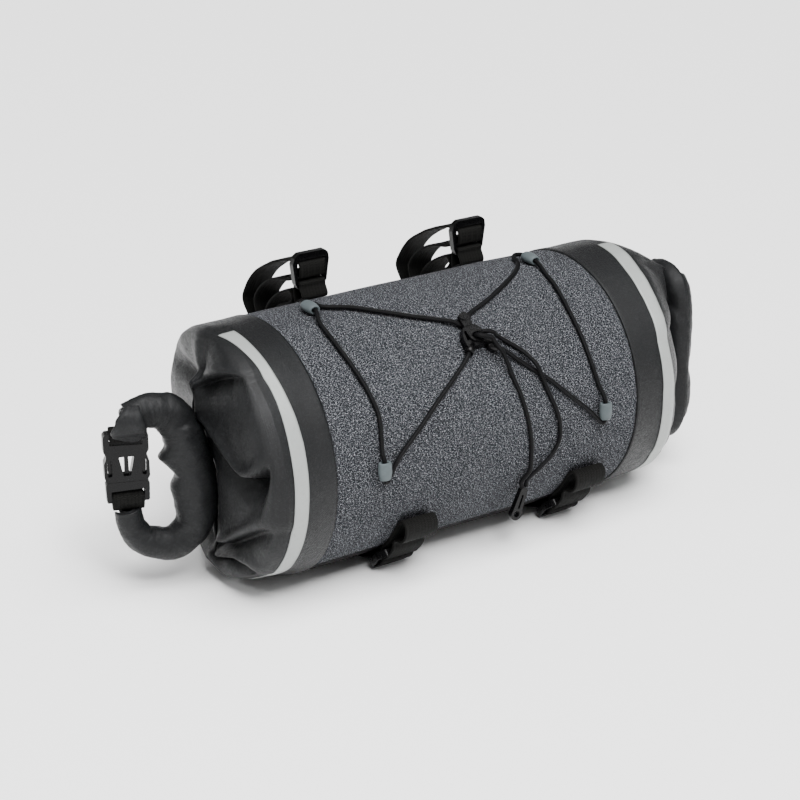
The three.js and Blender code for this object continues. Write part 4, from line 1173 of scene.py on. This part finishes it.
CLOSURES = {
    "left": dict(
        place=(-174.5, 0.0), heading=160.0, low=-53.0, buckle_top=26.5,
        course=[(41.5, 8, 37.4, 0.84), (34, 5, 39, 0.93), (25, 2, 39.5, 1), (16, 0, 36.5, 1.08),
                (9.5, 0, 29, 1.12), (5.5, 0, 18, 1.12), (1, 0, 3, 1.12), (-1.5, 0, -14, 1.12),
                (-1, 0, -31, 1.1), (3, 0, -43.5, 1.06), (12, 0, -51, 1.0), (24, 0, -52, 0.93),
                (34, 0, -47, 0.84), (39.5, 0, -38, 0.78), (41.5, 0, -26.5, 0.74)],
        inside=[(26, 0), (18, 2), (12.5, 6.5), (-4, 0.2), (-12, 4), (-30, 2.2), (-38, 0)],
    ),
    "right": dict(
        place=(206.0, -22.0), heading=84.0, low=-53.0, buckle_top=46.0,
        course=[(26.4, 0, 53, 0.82), (16, -1, 54.5, 0.9), (6, -2, 52, 0.98), (1, -2.5, 42, 1.04),
                (0, -3.5, 16, 1.1), (0, -3.5, -14, 1.1), (0, -3.5, -41, 1.1), (5, -1, -53.5, 1.02),
                (18, 0, -56, 0.95), (32, 0, -50, 0.86), (40, 0, -40, 0.78), (41.5, 0, -28, 0.7)],
        inside=[(30, 0), (10, 3), (-4, 0), (-20, 2), (-38, 0)],
    ),
}
BUCKLE_OFFSET, ARM_CURL = 41.5, 25.0
BUCKLE_LENGTH, BUCKLE_WIDTH, BUCKLE_THICKNESS = 47.0, 28.5, 7.5

# Creases across a roll: where on its course, on which side in degrees, how broad and deep, and their slant
ROLL_CREASES = [
    (0.16, 300, 70, 1.6, 0.020), (0.30, 40, 60, 1.8, -0.03), (0.37, 200, 70, 1.6, 0.03),
    (0.45, 300, 60, 1.3, -0.02), (0.62, 280, 70, 1.0, 0.04), (0.72, 310, 60, 1.8, -0.03),
    (0.79, 270, 60, 2.2, 0.03), (0.86, 290, 80, 3.2, -0.05), (0.92, 250, 70, 2.8, 0.05),
    (0.07, 250, 80, 1.3, -0.03),
]


def closure_matrix(closure, out=0.0, up=0.0):
    turn = math.radians(closure["heading"])
    x_axis = Vector((math.cos(turn), math.sin(turn), 0))
    y_axis = Vector((-math.sin(turn), math.cos(turn), 0))
    x, y = closure["place"]
    origin = place(x, y, up) + x_axis * out * MM
    return matrix_of(origin, x_axis, y_axis, Vector((0, 0, 1)))


def roll_section():
    turns, pitch, layer = 1.75, 3.9, 2.6
    shares = spread(0, turns, 84)
    outside = [(ROLL - pitch * t, 2 * math.pi * t) for t in shares]
    inside = [(ROLL - pitch * t - layer * smoothstep((t + 0.06) * 8), 2 * math.pi * t) for t in shares]
    return outside + inside[::-1]


def roll_dent(share, turn):
    dent = 0.0
    for at, side, breadth, deep, slant in ROLL_CREASES:
        round_away = turn_between(math.degrees(turn), side) / breadth
        away = (share - at - slant * round_away) / 0.012
        sharp = math.exp(-(away / (0.8 if away > 0 else 2.6)) ** 2)
        dent += deep * sharp * math.exp(-round_away ** 2)
    return dent


def rolled_bar(end, closure):
    steps = 14
    path = smooth_line(closure["course"], steps)
    section_points = roll_section()
    rings = []
    count = len(path) - 1
    seed = 0.0 if end == "left" else 9.0
    for i, point in enumerate(path):
        centre = Vector(point[:3])
        heading = (Vector(path[min(i + 1, count)][:3]) - Vector(path[max(i - 1, 0)][:3])).normalized()
        front = (Vector((0, 1, 0)) - heading * heading.y).normalized()
        side = front.cross(heading)
        share = i / count
        swell = table_value(closure["inside"][::-1], centre.z) if 0.15 < share < 0.72 else 0.0
        ring = []
        for radius, turn in section_points:
            crumple = 0.7 * noise.noise(Vector((i * 0.11 + seed, math.cos(turn) * 1.5, math.sin(turn) * 1.5)))
            spot = Vector((i * 0.4 + seed, math.cos(turn) * 2.4, math.sin(turn) * 2.4 + 5))
            ripple = 0.3 * noise.noise(spot)
            outer_share = smoothstep((radius - 5) / 6)
            kink = swell * max(0.0, -math.cos(turn)) ** 2 * outer_share
            r = (radius + crumple + ripple - 0.3 - roll_dent(share, turn) * outer_share) * point[3] + kink
            ring.append((centre + side * r * math.cos(turn) + front * r * math.sin(turn)) * MM)
        rings.append(ring)
    along = [length / MM for length in running_lengths([ring[0] for ring in rings])]
    bar = tube(f"{end}_rolled_mouth", rings, FINISHES["coated cloth"], 2 * math.pi * ROLL * 2.6, along)
    bar.data.transform(closure_matrix(closure))
    return bar


class BAG_OT_rolls(BagPiece, bpy.types.Operator):
    """Rolled mouths of the two ends"""

    bl_idname = "bag.rolls"
    bl_label = "Rolls"

    def build(self, sizes):
        for end, closure in CLOSURES.items():
            ready(rolled_bar(end, closure), "coated_cloth", f"{end}_roll")
            ready(corner_flap(end, closure), "coated_cloth", f"{end}_corner_tab")


def corner_flap(end, closure):
    """Stiff corner of the rolled fabric that hangs over the buckle."""
    lift = closure["buckle_top"] - CLOSURES["left"]["buckle_top"]
    course = [(13.5, 48), (18.4, 44.5), (20, 39.5), (18.4, 34), (15, 30.2), (12, 27.2), (10.2, 24.4)]
    path = smooth_line([(front, up + lift, 0) for front, up in course], 8)
    count = len(path) - 1
    shares = spread(0, 1, 18)
    right_edge = [(0, 33), (0.5, 29.5), (0.85, 30), (1, 34)]
    left_edge = [(0, 43), (0.3, 49), (0.55, 52), (0.85, 50.5), (1, 45)]

    def face(out):
        grid = []
        for i, point in enumerate(path):
            heading = path[min(i + 1, count)] - path[max(i - 1, 0)]
            normal = Vector((-heading.y, heading.x, 0)).normalized()
            row = []
            for share in shares:
                rim = 1 - abs(2 * share - 1) ** 6 * 0.8
                wave = 0.8 * noise.noise(Vector((share * 2.2, i * 0.06, 4.0)))
                spot = point + normal * (out * rim + wave)
                across_at = lerp(soft_value(right_edge, i / count), soft_value(left_edge, i / count), share)
                row.append(Vector((across_at, spot.x, spot.y + 1.5 * (share - 0.5) * i / count)) * MM)
            grid.append(row)
        return grid

    across = [share * 22 for share in shares]
    along = running_lengths(path)
    flap = grid_shell(f"{end}_corner_flap", face(FLAP_CLOTH / 2), face(-FLAP_CLOTH / 2), False,
                      FINISHES["coated cloth"], across, along)
    flap.data.transform(closure_matrix(closure))
    return flap


# Buckles

BAR = 3.4
SLOT, SLOT_REACH = 5.0, 10.4
SOCKET_LENGTH = BUCKLE_LENGTH * 0.7
SOCKET_LOW = BUCKLE_LENGTH / 2 - SOCKET_LENGTH


def buckle_socket(end, matrix):
    half, high, low, half_thick = BUCKLE_WIDTH / 2, BUCKLE_LENGTH / 2, SOCKET_LOW, BUCKLE_THICKNESS / 2
    side = [(half - 1.6, high, 1.4), (half, high - 2, 1.2), (half, high - 12, 2),
            (half - 1.4, high - 14.4, 2), (half - 1.4, low + 16, 1.5), (half, low + 13, 2),
            (half, low + 3, 2), (half - 1.6, low, 1.5)]
    slot = rounded_outline([(-SLOT_REACH, high - BAR - SLOT), (SLOT_REACH, high - BAR - SLOT + 0.8),
                            (SLOT_REACH, high - BAR), (-SLOT_REACH, high - BAR - 1.4)], 0.5)
    window = rounded_outline(mirrored([(2.2, low + 4), (4.8, low + 17)]), 0.6)
    arch = [(half - 4.9, low + 4.4), (half - 2.2, low + 3.6), (half - 1.9, low + 14.4),
            (half - 4.9, low + 15.6)]
    arches = [rounded_outline([(sign * x, y) for x, y in arch], 1.2) for sign in (-1, 1)]
    return moulding(f"{end}_socket", rounded_outline(mirrored(side), 1.0), [slot, window, *arches],
                    -half_thick, half_thick, matrix, 1.1)


def buckle_plug(end, matrix):
    low, half, top = -BUCKLE_LENGTH / 2, BUCKLE_WIDTH / 2, SOCKET_LOW - GAP
    half_foot, half_tongue = 3.4, 1.5
    outline = mirrored([(half - 0.8, low), (half - 0.4, top - 1.6), (half - 2, top)])
    slot = rounded_outline([(-SLOT_REACH, low + BAR), (SLOT_REACH, low + BAR),
                            (SLOT_REACH, low + BAR + SLOT - 0.8), (-SLOT_REACH, low + BAR + SLOT)], 0.5)
    pieces = [moulding("foot", rounded_outline(outline, 1.4), [slot], -half_foot, half_foot, matrix, 1.0)]
    arm = [(half - 5.6, top - 0.5), (half - 3.4, top - 0.5), (half - 2.4, SOCKET_LOW + 8),
           (half - 2.3, SOCKET_LOW + 14.5), (half - 4.9, SOCKET_LOW + 17.2), (half - 5.0, SOCKET_LOW + 9)]
    rib = mirrored([(1.6, top - 0.5), (1.2, SOCKET_LOW + 19)])
    for prong, radius, edge in (([(-x, y) for x, y in arm], 0.8, 0.5), (arm, 0.8, 0.5), (rib, 0.4, 0.4)):
        prong = rounded_outline(prong, radius)
        pieces.append(moulding("prong", prong, [], -half_tongue, half_tongue, matrix, edge))
    return join(f"{end}_plug", pieces)


def around_bar(half_width, half_thickness):
    past, out = half_width + LAID + 0.1, half_thickness + LAID + 0.1
    return [(0, -out), (past * 0.84, -out * 0.95), (past, 0), (past * 0.84, out * 0.95), (0, out)]


def bar_loop(name, bar, far, far_half, matrix):
    """Webbing sewn round a bar of the buckle, in the buckle's own frame."""
    up = 1 if far > bar else -1
    half = BUCKLE_THICKNESS / 2 + LAID + 0.1
    shoulder = bar + up * (BAR / 2 + GAP)
    turn = [(out, bar - up * past) for past, out in around_bar(BAR / 2, BUCKLE_THICKNESS / 2)]
    points = [*turn, (half, shoulder), (far_half, far), (0, far), (-far_half, far), (-half, shoulder)]
    return ribbon(name, flat_points(smooth_line(points, 6, True)), 0, NARROW, closed=True, matrix=matrix)


class BAG_OT_buckles(BagPiece, bpy.types.Operator):
    """Side-release buckles and their webbing"""

    bl_idname = "bag.buckles"
    bl_label = "Buckles"

    def build(self, sizes):
        for end, closure in CLOSURES.items():
            middle = closure["buckle_top"] - BUCKLE_LENGTH / 2
            upright = closure_matrix(closure, BUCKLE_OFFSET, middle)
            lying = upright @ Matrix.Rotation(math.pi / 2, 4, "X")
            ready(buckle_socket(end, lying), "black_plastic", f"{end}_buckle_socket")
            ready(buckle_plug(end, lying), "black_plastic", f"{end}_buckle_plug")
            top_bar = (BUCKLE_LENGTH - BAR) / 2
            loop_top = BUCKLE_LENGTH / 2 + LAID + 0.2
            loop_low = closure["low"] + ARM_CURL + LAID + 1.2 - middle
            top = bar_loop(f"{end}_top_loop", top_bar, loop_top, BUCKLE_THICKNESS * 0.53, upright)
            low = bar_loop(f"{end}_low_loop", -top_bar, loop_low, 1.4, upright)
            ready(top, "webbing", f"{end}_top_webbing")
            ready(low, "webbing", f"{end}_low_webbing")


# Guides and lock

GUIDES = {"top_left": (-88, 87), "top_right": (88, 87), "bottom_left": (-87, 3.7), "bottom_right": (89, 3.4)}
GUIDE_LENGTH, GUIDE_WIDTH, GUIDE_DEPTH = 11.5, 9.5, 7.0


class BAG_OT_guides(BagPiece, bpy.types.Operator):
    """Cord guides on the front panel"""

    bl_idname = "bag.guides"
    bl_label = "Guides"

    def build(self, sizes):
        half, wide = GUIDE_LENGTH / 2, GUIDE_WIDTH / 2
        profile = [(2.5, -half), (wide * 0.74, -half), (wide * 0.82, -half + 0.35),
                   (wide * 0.93, -half * 0.55), (wide, -half * 0.2), (wide, half * 0.4),
                   (wide * 0.95, half * 0.75), (wide * 0.9, half - 0.4), (wide * 0.84, half), (2.9, half),
                   (2.5, half - 0.5)]
        flatness = GUIDE_DEPTH / GUIDE_WIDTH
        rings = [[Vector((x, along, z)) * MM for x, z in oval(0, 0, radius, radius * flatness, 40)]
                 for radius, along in profile]
        lengths = running_lengths([ring[0] / MM for ring in rings], True)
        for name, (x, angle) in GUIDES.items():
            guide = tube(f"{name}_cord_guide", rings, FINISHES["grey plastic"], 30, lengths, True)
            guide.data.transform(station(x, angle, GUIDE_HEIGHT))
            ready(guide, "grey_plastic", f"{name}_guide")


class BAG_OT_lock(BagPiece, bpy.types.Operator):
    """Cord lock in the middle of the lacing"""

    bl_idname = "bag.lock"
    bl_label = "Cord lock"

    def build(self, sizes):
        top = LOCK_THICKNESS
        body = [(-3.4, 6), (-7.6, 4.5), (-10.4, -1), (-11, -7.5), (-9.4, -10.5), (-3, -9), (4, -9.5),
                (9.6, -11.8), (11.4, -9.4), (8.6, -3.6), (5.2, 2.4), (2, 6)]
        slot = rounded_outline([(-8, 2.4), (-8.7, -4.6), (-6.7, -4.6), (-5.9, 2.4)], 0.8)
        hole = oval(*EYELET, 4.6, 2.5, 32)
        bridge = rounded_outline([(-5.6, 5.2), (1, 5.2), (1.4, HOOK[1]), (-6.2, HOOK[1])], 0.8)
        plates = (("plate", rounded_outline(body, 1.6), [slot, hole], 0, top, 0.9),
                  ("eyelet", oval(*EYELET, 6.5, 4.4, 40), [hole], top - 0.6, top + 1.4, 0.6),
                  ("bridge", bridge, [], top - 1.9, top, 0.5),
                  ("neck", oval(*HOOK, 2.4, 2.4, 20), [], 0, top - 0.6, 0.3),
                  ("head", oval(*HOOK, 3.7, 2.9, 32), [], top - 1.9, top + 0.9, 1.0))
        pieces = [moulding(*row, LOCK, edge) for *row, edge in plates]
        profile = ((1.9, -4.5), (1.9, -0.2), (2.1, 0), (2.9, 0), (3.2, -0.5), (3.2, -7.2))
        rings = [[Vector((back, across, out)) * MM for across, out in oval(0, 0, radius, radius, 24)]
                 for radius, back in profile]
        lengths = running_lengths([ring[0] / MM for ring in rings])
        for (x, y), heading in SOCKETS.values():
            arm = tube("arm", rings, FINISHES["black plastic"], 20, lengths)
            middle = Matrix.Translation(Vector((x, y, top / 2)) * MM)
            arm.data.transform(LOCK @ middle @ Matrix.Rotation(math.radians(heading), 4, "Z"))
            pieces.append(arm)
        ready(join("lacing_lock", pieces), "black_plastic", "cord_lock")


# Straps and sliders

SLIDER_RIM, SLIDER_THICKNESS, SLIDER_HEIGHT = 3.6, 4.6, 24.0
TOP_SLIDER = section(114.85, 19.7)
LOW_SLIDER = section(-54.3, 6.5)
TOP_SLOPE, LOW_SLOPE = 90.0, 134.4
STRAPS = {"left": (-58.5, -57.0), "right": (69.5, 81.0)}  # x of the handlebar loop and of the front tab
OVER_BAR = SLIDER_THICKNESS / 2 + LAID
UPPER_BAR = (SLIDER_HEIGHT - SLIDER_RIM) / 2


def over_slider(rows, middle, slope):
    turn = math.radians(slope)
    up = (math.cos(turn), math.sin(turn))
    return [(middle[0] + along * up[0] - out * up[1], middle[1] + along * up[1] + out * up[0])
            for along, out in rows]


def flat_points(line):
    return [(p.x, p.y) for p in line]


def handlebar_line():
    loop = [
        *over_tube([(152, LAID), (147, LAID + 1.5)]), (92, 38.5), (104, 42), (112, 48), (116.8, 55.8),
        (112.2, 65.8), (103.5, 76), (90, 85.6), (72, 94.6), (58, 99.8),
    ]
    threaded = [(6.6, -6), (6.7, 0), (5.6, OVER_BAR * 0.9), (2.6, OVER_BAR + 0.5), (-1, OVER_BAR + 0.3),
                (-3.4, OVER_BAR * 0.9), (-4.2, 0), (-4.6, -5)]
    through = over_slider(threaded, TOP_SLIDER, TOP_SLOPE)
    tail = [(55, 86.5), (69, 83.5), (84, 77), (95, 68.5), (101, 59.5), (98.5, 51.5), (92.5, 49), (87.5, 53.5),
            (82, 62), (73, 70), (63, 76), (54, 79), (50.5, 75), (55.5, 69.5), (65, 66), (73.5, 60), (80, 53),
            (84, 48)]
    return [*over_tube([(angle, LAID) for angle in spread(170, 154, 8)]),
            *flat_points(smooth_line([*loop, *through, *tail], 6))]


def anchor_line():
    turn = [(past - UPPER_BAR, -out) for past, out in around_bar(SLIDER_RIM / 2, SLIDER_THICKNESS / 2)]
    laid = over_tube([(122.5, LAID + 0.4), (119, LAID + 0.2), (115.5, LAID + 0.6)])
    return flat_points(smooth_line([*over_slider(turn, TOP_SLIDER, TOP_SLOPE), *laid], 6, True))


def belly_line():
    threaded = over_slider([
        (0.4, -OVER_BAR - 0.3), (2.6, -OVER_BAR * 0.86), (3.5, 0), (2.6, OVER_BAR * 0.9), (0, OVER_BAR + 0.2),
        (-2.8, OVER_BAR * 0.9), (-4.2, 0), (-6.4, -OVER_BAR * 0.9)], LOW_SLIDER, LOW_SLOPE)
    return [*flat_points(smooth_line([*threaded, *over_tube([(-67, LAID + 1), (-71, LAID)])], 6)),
            *over_tube([(angle, LAID) for angle in spread(-75, -189, 90)])]


def tab_line():
    turn = [(UPPER_BAR - past, out) for past, out in around_bar(SLIDER_RIM / 2, SLIDER_THICKNESS / 2)]
    laid = over_tube([(-41.5, 8), (-38, 5.4), (-35.4, 6.8), (-33.6, 10), (-30.4, 11.6), (-27, 10.8),
                      (-24.8, 8), (-24.8, 4.4), (-27, LAID + 0.5), (-31, LAID), (-36, LAID), (-41, LAID)])
    return flat_points(smooth_line([*over_slider(turn, LOW_SLIDER, LOW_SLOPE), *laid], 6, True))


def slider(name, width, x, middle, slope):
    """Ladder slider: two slots between three bars, the upper bar a little bowed."""
    half, side = SLIDER_HEIGHT / 2, width / 2 + 0.45
    outside, foot = side + SLIDER_RIM, side + 1.6
    outline = mirrored([(foot - 2.4, -half), (foot, -half + 4), (outside - 0.6, 2), (outside, half - 6),
                        (outside - 1.2, half - 1.6), (outside - 4, half)])
    middle_bar, upper, lower = SLIDER_RIM / 2, half - SLIDER_RIM - 0.6, -half + SLIDER_RIM
    holes = [rounded_outline(mirrored([(side, a), (side, b)]), 0.6)
             for a, b in ((middle_bar, upper), (lower, -middle_bar))]

    def bowed(x, y, z):
        rise = smoothstep((y - half * 0.3) / (half * 0.7))
        crown = rise * (1 - (x / outside) ** 2)
        return x, y + 2.4 * crown, z + 1.6 * crown + 0.8 * rise

    matrix = Matrix.Translation(place(x, *middle)) @ Matrix.Rotation(math.radians(slope), 4, "X")
    half_thick = SLIDER_THICKNESS / 2
    return moulding(name, rounded_outline(outline, 2.4), holes, -half_thick, half_thick, matrix, 1.2, bowed)


class BAG_OT_handlebar_straps(BagPiece, bpy.types.Operator):
    """Webbing loops for the handlebar with their sliders"""

    bl_idname = "bag.handlebar_straps"
    bl_label = "Handlebar straps"

    def build(self, sizes):
        for side, (x, _tab) in STRAPS.items():
            loop = ribbon(f"{side}_bar_loop", handlebar_line(), x, NARROW, ripple=sizes.ripple / MM)
            ready(loop, "webbing", f"{side}_handlebar_strap")
            anchor = ribbon(f"{side}_anchor_loop", anchor_line(), x, NARROW, closed=True)
            ready(anchor, "webbing", f"{side}_strap_anchor")
            upper = slider(f"{side}_upper_slider", NARROW, x, TOP_SLIDER, TOP_SLOPE)
            ready(upper, "black_plastic", f"{side}_top_slider")


class BAG_OT_belly_straps(BagPiece, bpy.types.Operator):
    """Webbing under the belly with its sliders and front tabs"""

    bl_idname = "bag.belly_straps"
    bl_label = "Belly straps"

    def build(self, sizes):
        for side, (x, tab_x) in STRAPS.items():
            belt = ribbon(f"{side}_under_strap", belly_line(), tab_x, WIDE, end_x=x)
            ready(belt, "webbing", f"{side}_belly_strap")
            tab = ribbon(f"{side}_folded_tab", tab_line(), tab_x, WIDE, closed=True)
            ready(tab, "webbing", f"{side}_front_tab")
            lower = slider(f"{side}_lower_slider", WIDE, tab_x, LOW_SLIDER, LOW_SLOPE)
            ready(lower, "black_plastic", f"{side}_low_slider")


class BAG_PT_panel(bpy.types.Panel):
    """Lists the bag's settings and steps"""

    bl_label = "Handlebar bag"
    bl_idname = "BAG_PT_panel"
    bl_space_type = "VIEW_3D"
    bl_region_type = "UI"
    bl_category = "Bag"

    def draw(self, context):
        for group in (context.scene.bag_sizes, context.scene.bag_colours):
            for key in group.__annotations__:
                self.layout.prop(group, key)
        for step in STEPS:
            self.layout.operator(step.bl_idname)


class BAG_OT_finishes(BagPiece, bpy.types.Operator):
    """Materials of all pieces"""

    bl_idname = "bag.finishes"
    bl_label = "Finishes"

    def build(self, sizes):
        tones = bpy.context.scene.bag_colours
        make_effects()
        make_finish("melange cloth", melange_cloth, (tones.panel, tones.flecks), Specular_IOR_Level=0.08)
        make_finish("coated cloth", coated_cloth, (tones.coated,), Specular_IOR_Level=0.2)
        make_finish("belly cloth", belly_cloth, (tones.belly,), Specular_IOR_Level=0.1)
        make_finish("reflective tape", reflective_tape, (tones.stripe,), Metallic=0.15)
        make_finish("woven webbing", woven_webbing, (tones.webbing,), Specular_IOR_Level=0.09)
        make_finish("black plastic", moulded_plastic, (tones.plastic, 0.27), Specular_IOR_Level=0.16)
        make_finish("grey plastic", moulded_plastic, (tones.guide, 0.5), Specular_IOR_Level=0.16)
        make_finish("elastic sheath", elastic_sheath, (tones.cord,), Specular_IOR_Level=0.09)


STEPS = (
    BAG_OT_finishes, BAG_OT_stage, BAG_OT_cords, BAG_OT_panels, BAG_OT_ends, BAG_OT_stripes, BAG_OT_rolls,
    BAG_OT_buckles, BAG_OT_guides, BAG_OT_lock, BAG_OT_handlebar_straps, BAG_OT_belly_straps,
)
CLASSES = (BagColours, BagSizes, *STEPS, BAG_PT_panel)


def register():
    for cls in CLASSES:
        bpy.utils.register_class(cls)
    bpy.types.Scene.bag_colours = bpy.props.PointerProperty(type=BagColours)
    bpy.types.Scene.bag_sizes = bpy.props.PointerProperty(type=BagSizes)


def unregister():
    del bpy.types.Scene.bag_colours
    del bpy.types.Scene.bag_sizes
    for cls in reversed(CLASSES):
        bpy.utils.unregister_class(cls)


def main():
    register()
    for step in STEPS:
        group, name = step.bl_idname.split(".")
        getattr(getattr(bpy.ops, group), name)()


if __name__ == "__main__":
    main()
